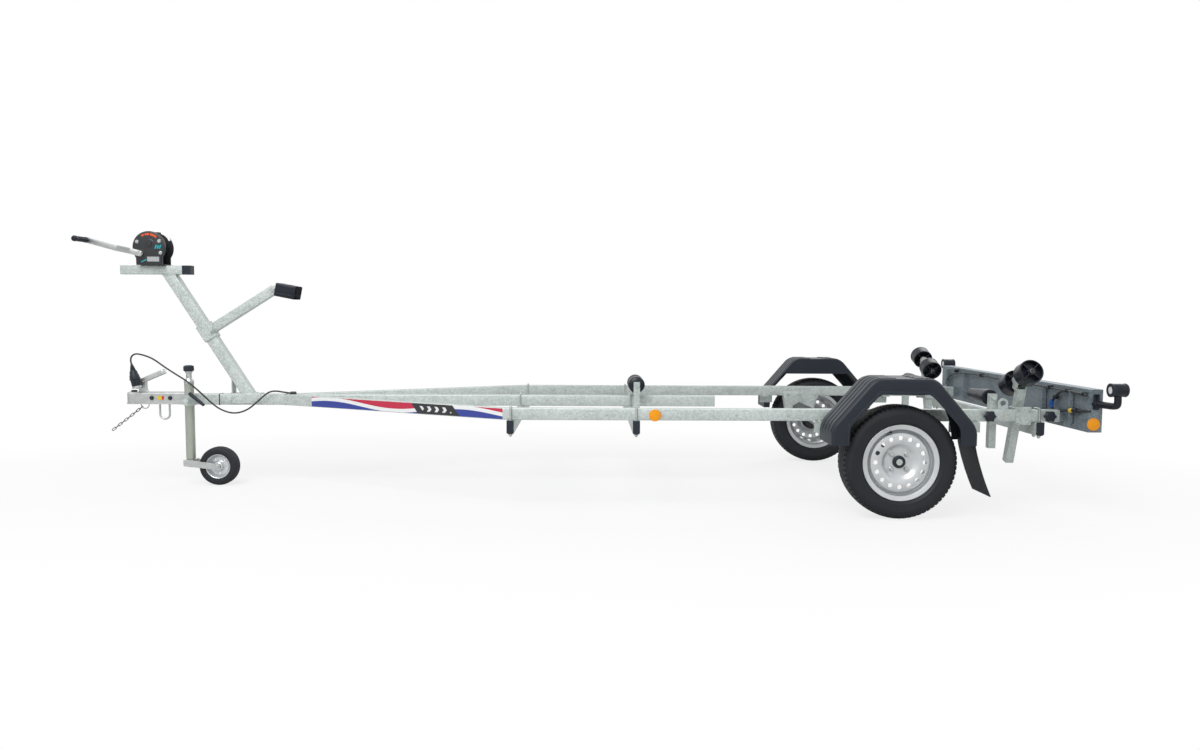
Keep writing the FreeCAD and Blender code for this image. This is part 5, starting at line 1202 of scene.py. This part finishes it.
def bandColours():
    finish = Finish("printedBand", coatWeight=0.3)
    place = finish.node("SeparateXYZ", {}, {0: finish.node("TexCoord", {}, {}, "Object")}, "X")
    level = Signal(finish, place.socket.node.outputs["Z"])
    along = (place - (axle + stripe["start"] / 1000)) / ((stripe["end"] - stripe["start"]) / 1000)
    up = (level - 0.4765) / 0.0265
    offset = up - up.math("SINE", along * stripe["waves"] + 0.6) * stripe["swing"]
    height = up.math("ABSOLUTE", up)
    tone = finish.blend(finish.band(offset, -0.02, 0.02), stripe["blue"], stripe["red"])
    tone = finish.blend(finish.band(up.math("ABSOLUTE", offset), *stripe["edge"]), stripe["white"], tone)
    slant = along + up * 0.018
    block = finish.band(slant, 0.565, 0.568) * (1 - finish.band(slant, 0.775, 0.778))
    chevron = up.math("FRACT", along * stripe["marks"] + height * 0.45)
    mark = finish.band(chevron, 0.60, 0.63) * (1 - finish.band(height, 0.50, 0.53))
    mark = mark * finish.band(slant, 0.60, 0.603) * (1 - finish.band(slant, 0.745, 0.748))
    return finish.wear(finish.blend(block, tone, finish.blend(mark, stripe["black"], stripe["mark"])),
                       0.30 + finish.noise(90.0) * 0.08)


def makeBands():
    materials["bands"] = bandColours()
    form = Form()
    for side in both:
        (a, b), (c, d) = [(x, 30 + 656 * (x + 3202) / 1302) for x in (stripe["start"], stripe["end"])]
        outline = [(a, b - 0.4), (a, b + 0.7), (c, d + 0.7), (c, d - 0.4)]
        form.plate([(x, side * y) for x, y in outline], stripe["low"], stripe["high"], "XY")
    form.add("printedBands", "galvanised_steel", material="bands")


# small bolts on the fender brackets and rails, ties round the cable, and plates round the axle's tube
small = {"brackets": (-353, 430), "bracketBolt": (690, 438, 452), "rails": (-755, -500, -1400),
         "railBolt": (686, 690, 476), "ties": (-3560, -3190), "tie": (2.5, 31.5, 445, 508)}
axlePlate = {
    "near": 640.5, "far": 645.8, "bolts": (-212, -34, -135), "boltHeight": 458,
    "outline": [(-232, 474), (-232, 436), (-212, 418), (-188, 306), (-48, 306), (-30, 418), (-15, 436), (-15, 474)]
}


def makeSmallParts():
    form = Form()
    (y, low, high), (near, far, z) = small["bracketBolt"], small["railBolt"]
    for side in both:
        for x in small["brackets"]:
            for k in (-12, 12):
                form.rod(7, (x + k, side * y, low), (x + k, side * y, high), steps=6)
        for x in small["rails"]:
            form.rod(5.5, (x, side * near, z), (x, side * far, z), steps=16)
    form.add("smallBolts", "zinc_plated_steel")
    form = Form()
    half, out, low, high = small["tie"]
    for x in small["ties"]:
        form.box((x - half, -out, low), (x + half, out, high))
    form.add("cableTies", "black_plastic")
    form = Form()
    for side in both:
        form.plate(axlePlate["outline"], side * axlePlate["near"], side * axlePlate["far"])
    form.bevel(1.2, 2, lambda edge: edge.calc_face_angle(0) > 1.2 and abs(spread(edge).y) < 1)
    for side in both:
        for x in axlePlate["bolts"]:
            form.bolt((x, 0, axlePlate["boltHeight"]), (0, side, 0), (11, 641, 638.5), (8, 639, 632), 20)
    form.add("axlePlates", "galvanised_steel")


makeBands()
makeSmallParts()
print("small pieces made")


# floor, lamps and a white surround
studio = {"world": 0.42, "floor": 0.80, "near": 0.74, "fade": (0.9, 2.2), "stretch": (0.5, 0.9, 1), "size": 60,
          "lamps": {"keyLamp": ((-2.0, -4.5, 6.0), 5.0, 430), "fillLamp": ((4.5, 4.5, 5.0), 4.0, 110)}}


def makeFloor():
    data = bpy.data.meshes.new("floor")
    form = bmesh.new()
    bmesh.ops.create_grid(form, x_segments=1, y_segments=1, size=studio["size"])
    form.to_mesh(data)
    form.free()
    floor = linked("floor", data)
    paint = Finish("floorPaint", roughness=0.9, specularIorLevel=0.0, baseColor=(studio["floor"],) * 3)
    seen = paint.node("LightPath", {}, {}, "Is Camera Ray")
    away = paint.node("VectorMath", {"operation": "LENGTH"}, {0: paint.coords(studio["stretch"])}, "Value")
    share = seen * (studio["near"] + paint.band(away, *studio["fade"]) * (1 - studio["near"]))
    glow = paint.node("Emission", {}, {"Color": (1, 1, 1, 1), "Strength": 1.0})
    mixed = paint.node("MixShader", {}, {0: share, 1: Signal(paint, paint.shader.outputs[0]), 2: glow})
    paint.tree.links.new(mixed.socket, paint.tree.nodes["Material Output"].inputs["Surface"])
    data.materials.append(paint.material)


def makeSurround():
    world = bpy.data.worlds.new("surround")
    bpy.context.scene.world = world
    world.use_nodes = True
    tree = world.node_tree
    path = tree.nodes.new("ShaderNodeLightPath")
    seen = tree.nodes.new("ShaderNodeMath")
    seen.operation = "MAXIMUM"
    strength = tree.nodes.new("ShaderNodeMapRange")
    strength.inputs["To Min"].default_value = studio["world"]
    strength.inputs["To Max"].default_value = 1.0
    background = tree.nodes["Background"]
    background.inputs["Color"].default_value = (1, 1, 1, 1)
    for output, socket in ((path.outputs["Is Camera Ray"], seen.inputs[0]),
                           (path.outputs["Is Glossy Ray"], seen.inputs[1]),
                           (seen.outputs[0], strength.inputs["Value"]),
                           (strength.outputs[0], background.inputs["Strength"])):
        tree.links.new(output, socket)


def makeLights():
    for name, (place, size, power) in studio["lamps"].items():
        lamp = bpy.data.lights.new(name, "AREA")
        lamp.size = size
        lamp.energy = power
        item = linked(name, lamp)
        item.location = place
        item.rotation_euler = (-Vector(place)).to_track_quat("-Z", "Y").to_euler()


makeFloor()
makeSurround()
makeLights()
bpy.context.scene.view_settings.view_transform = "Standard"
print("studio set")
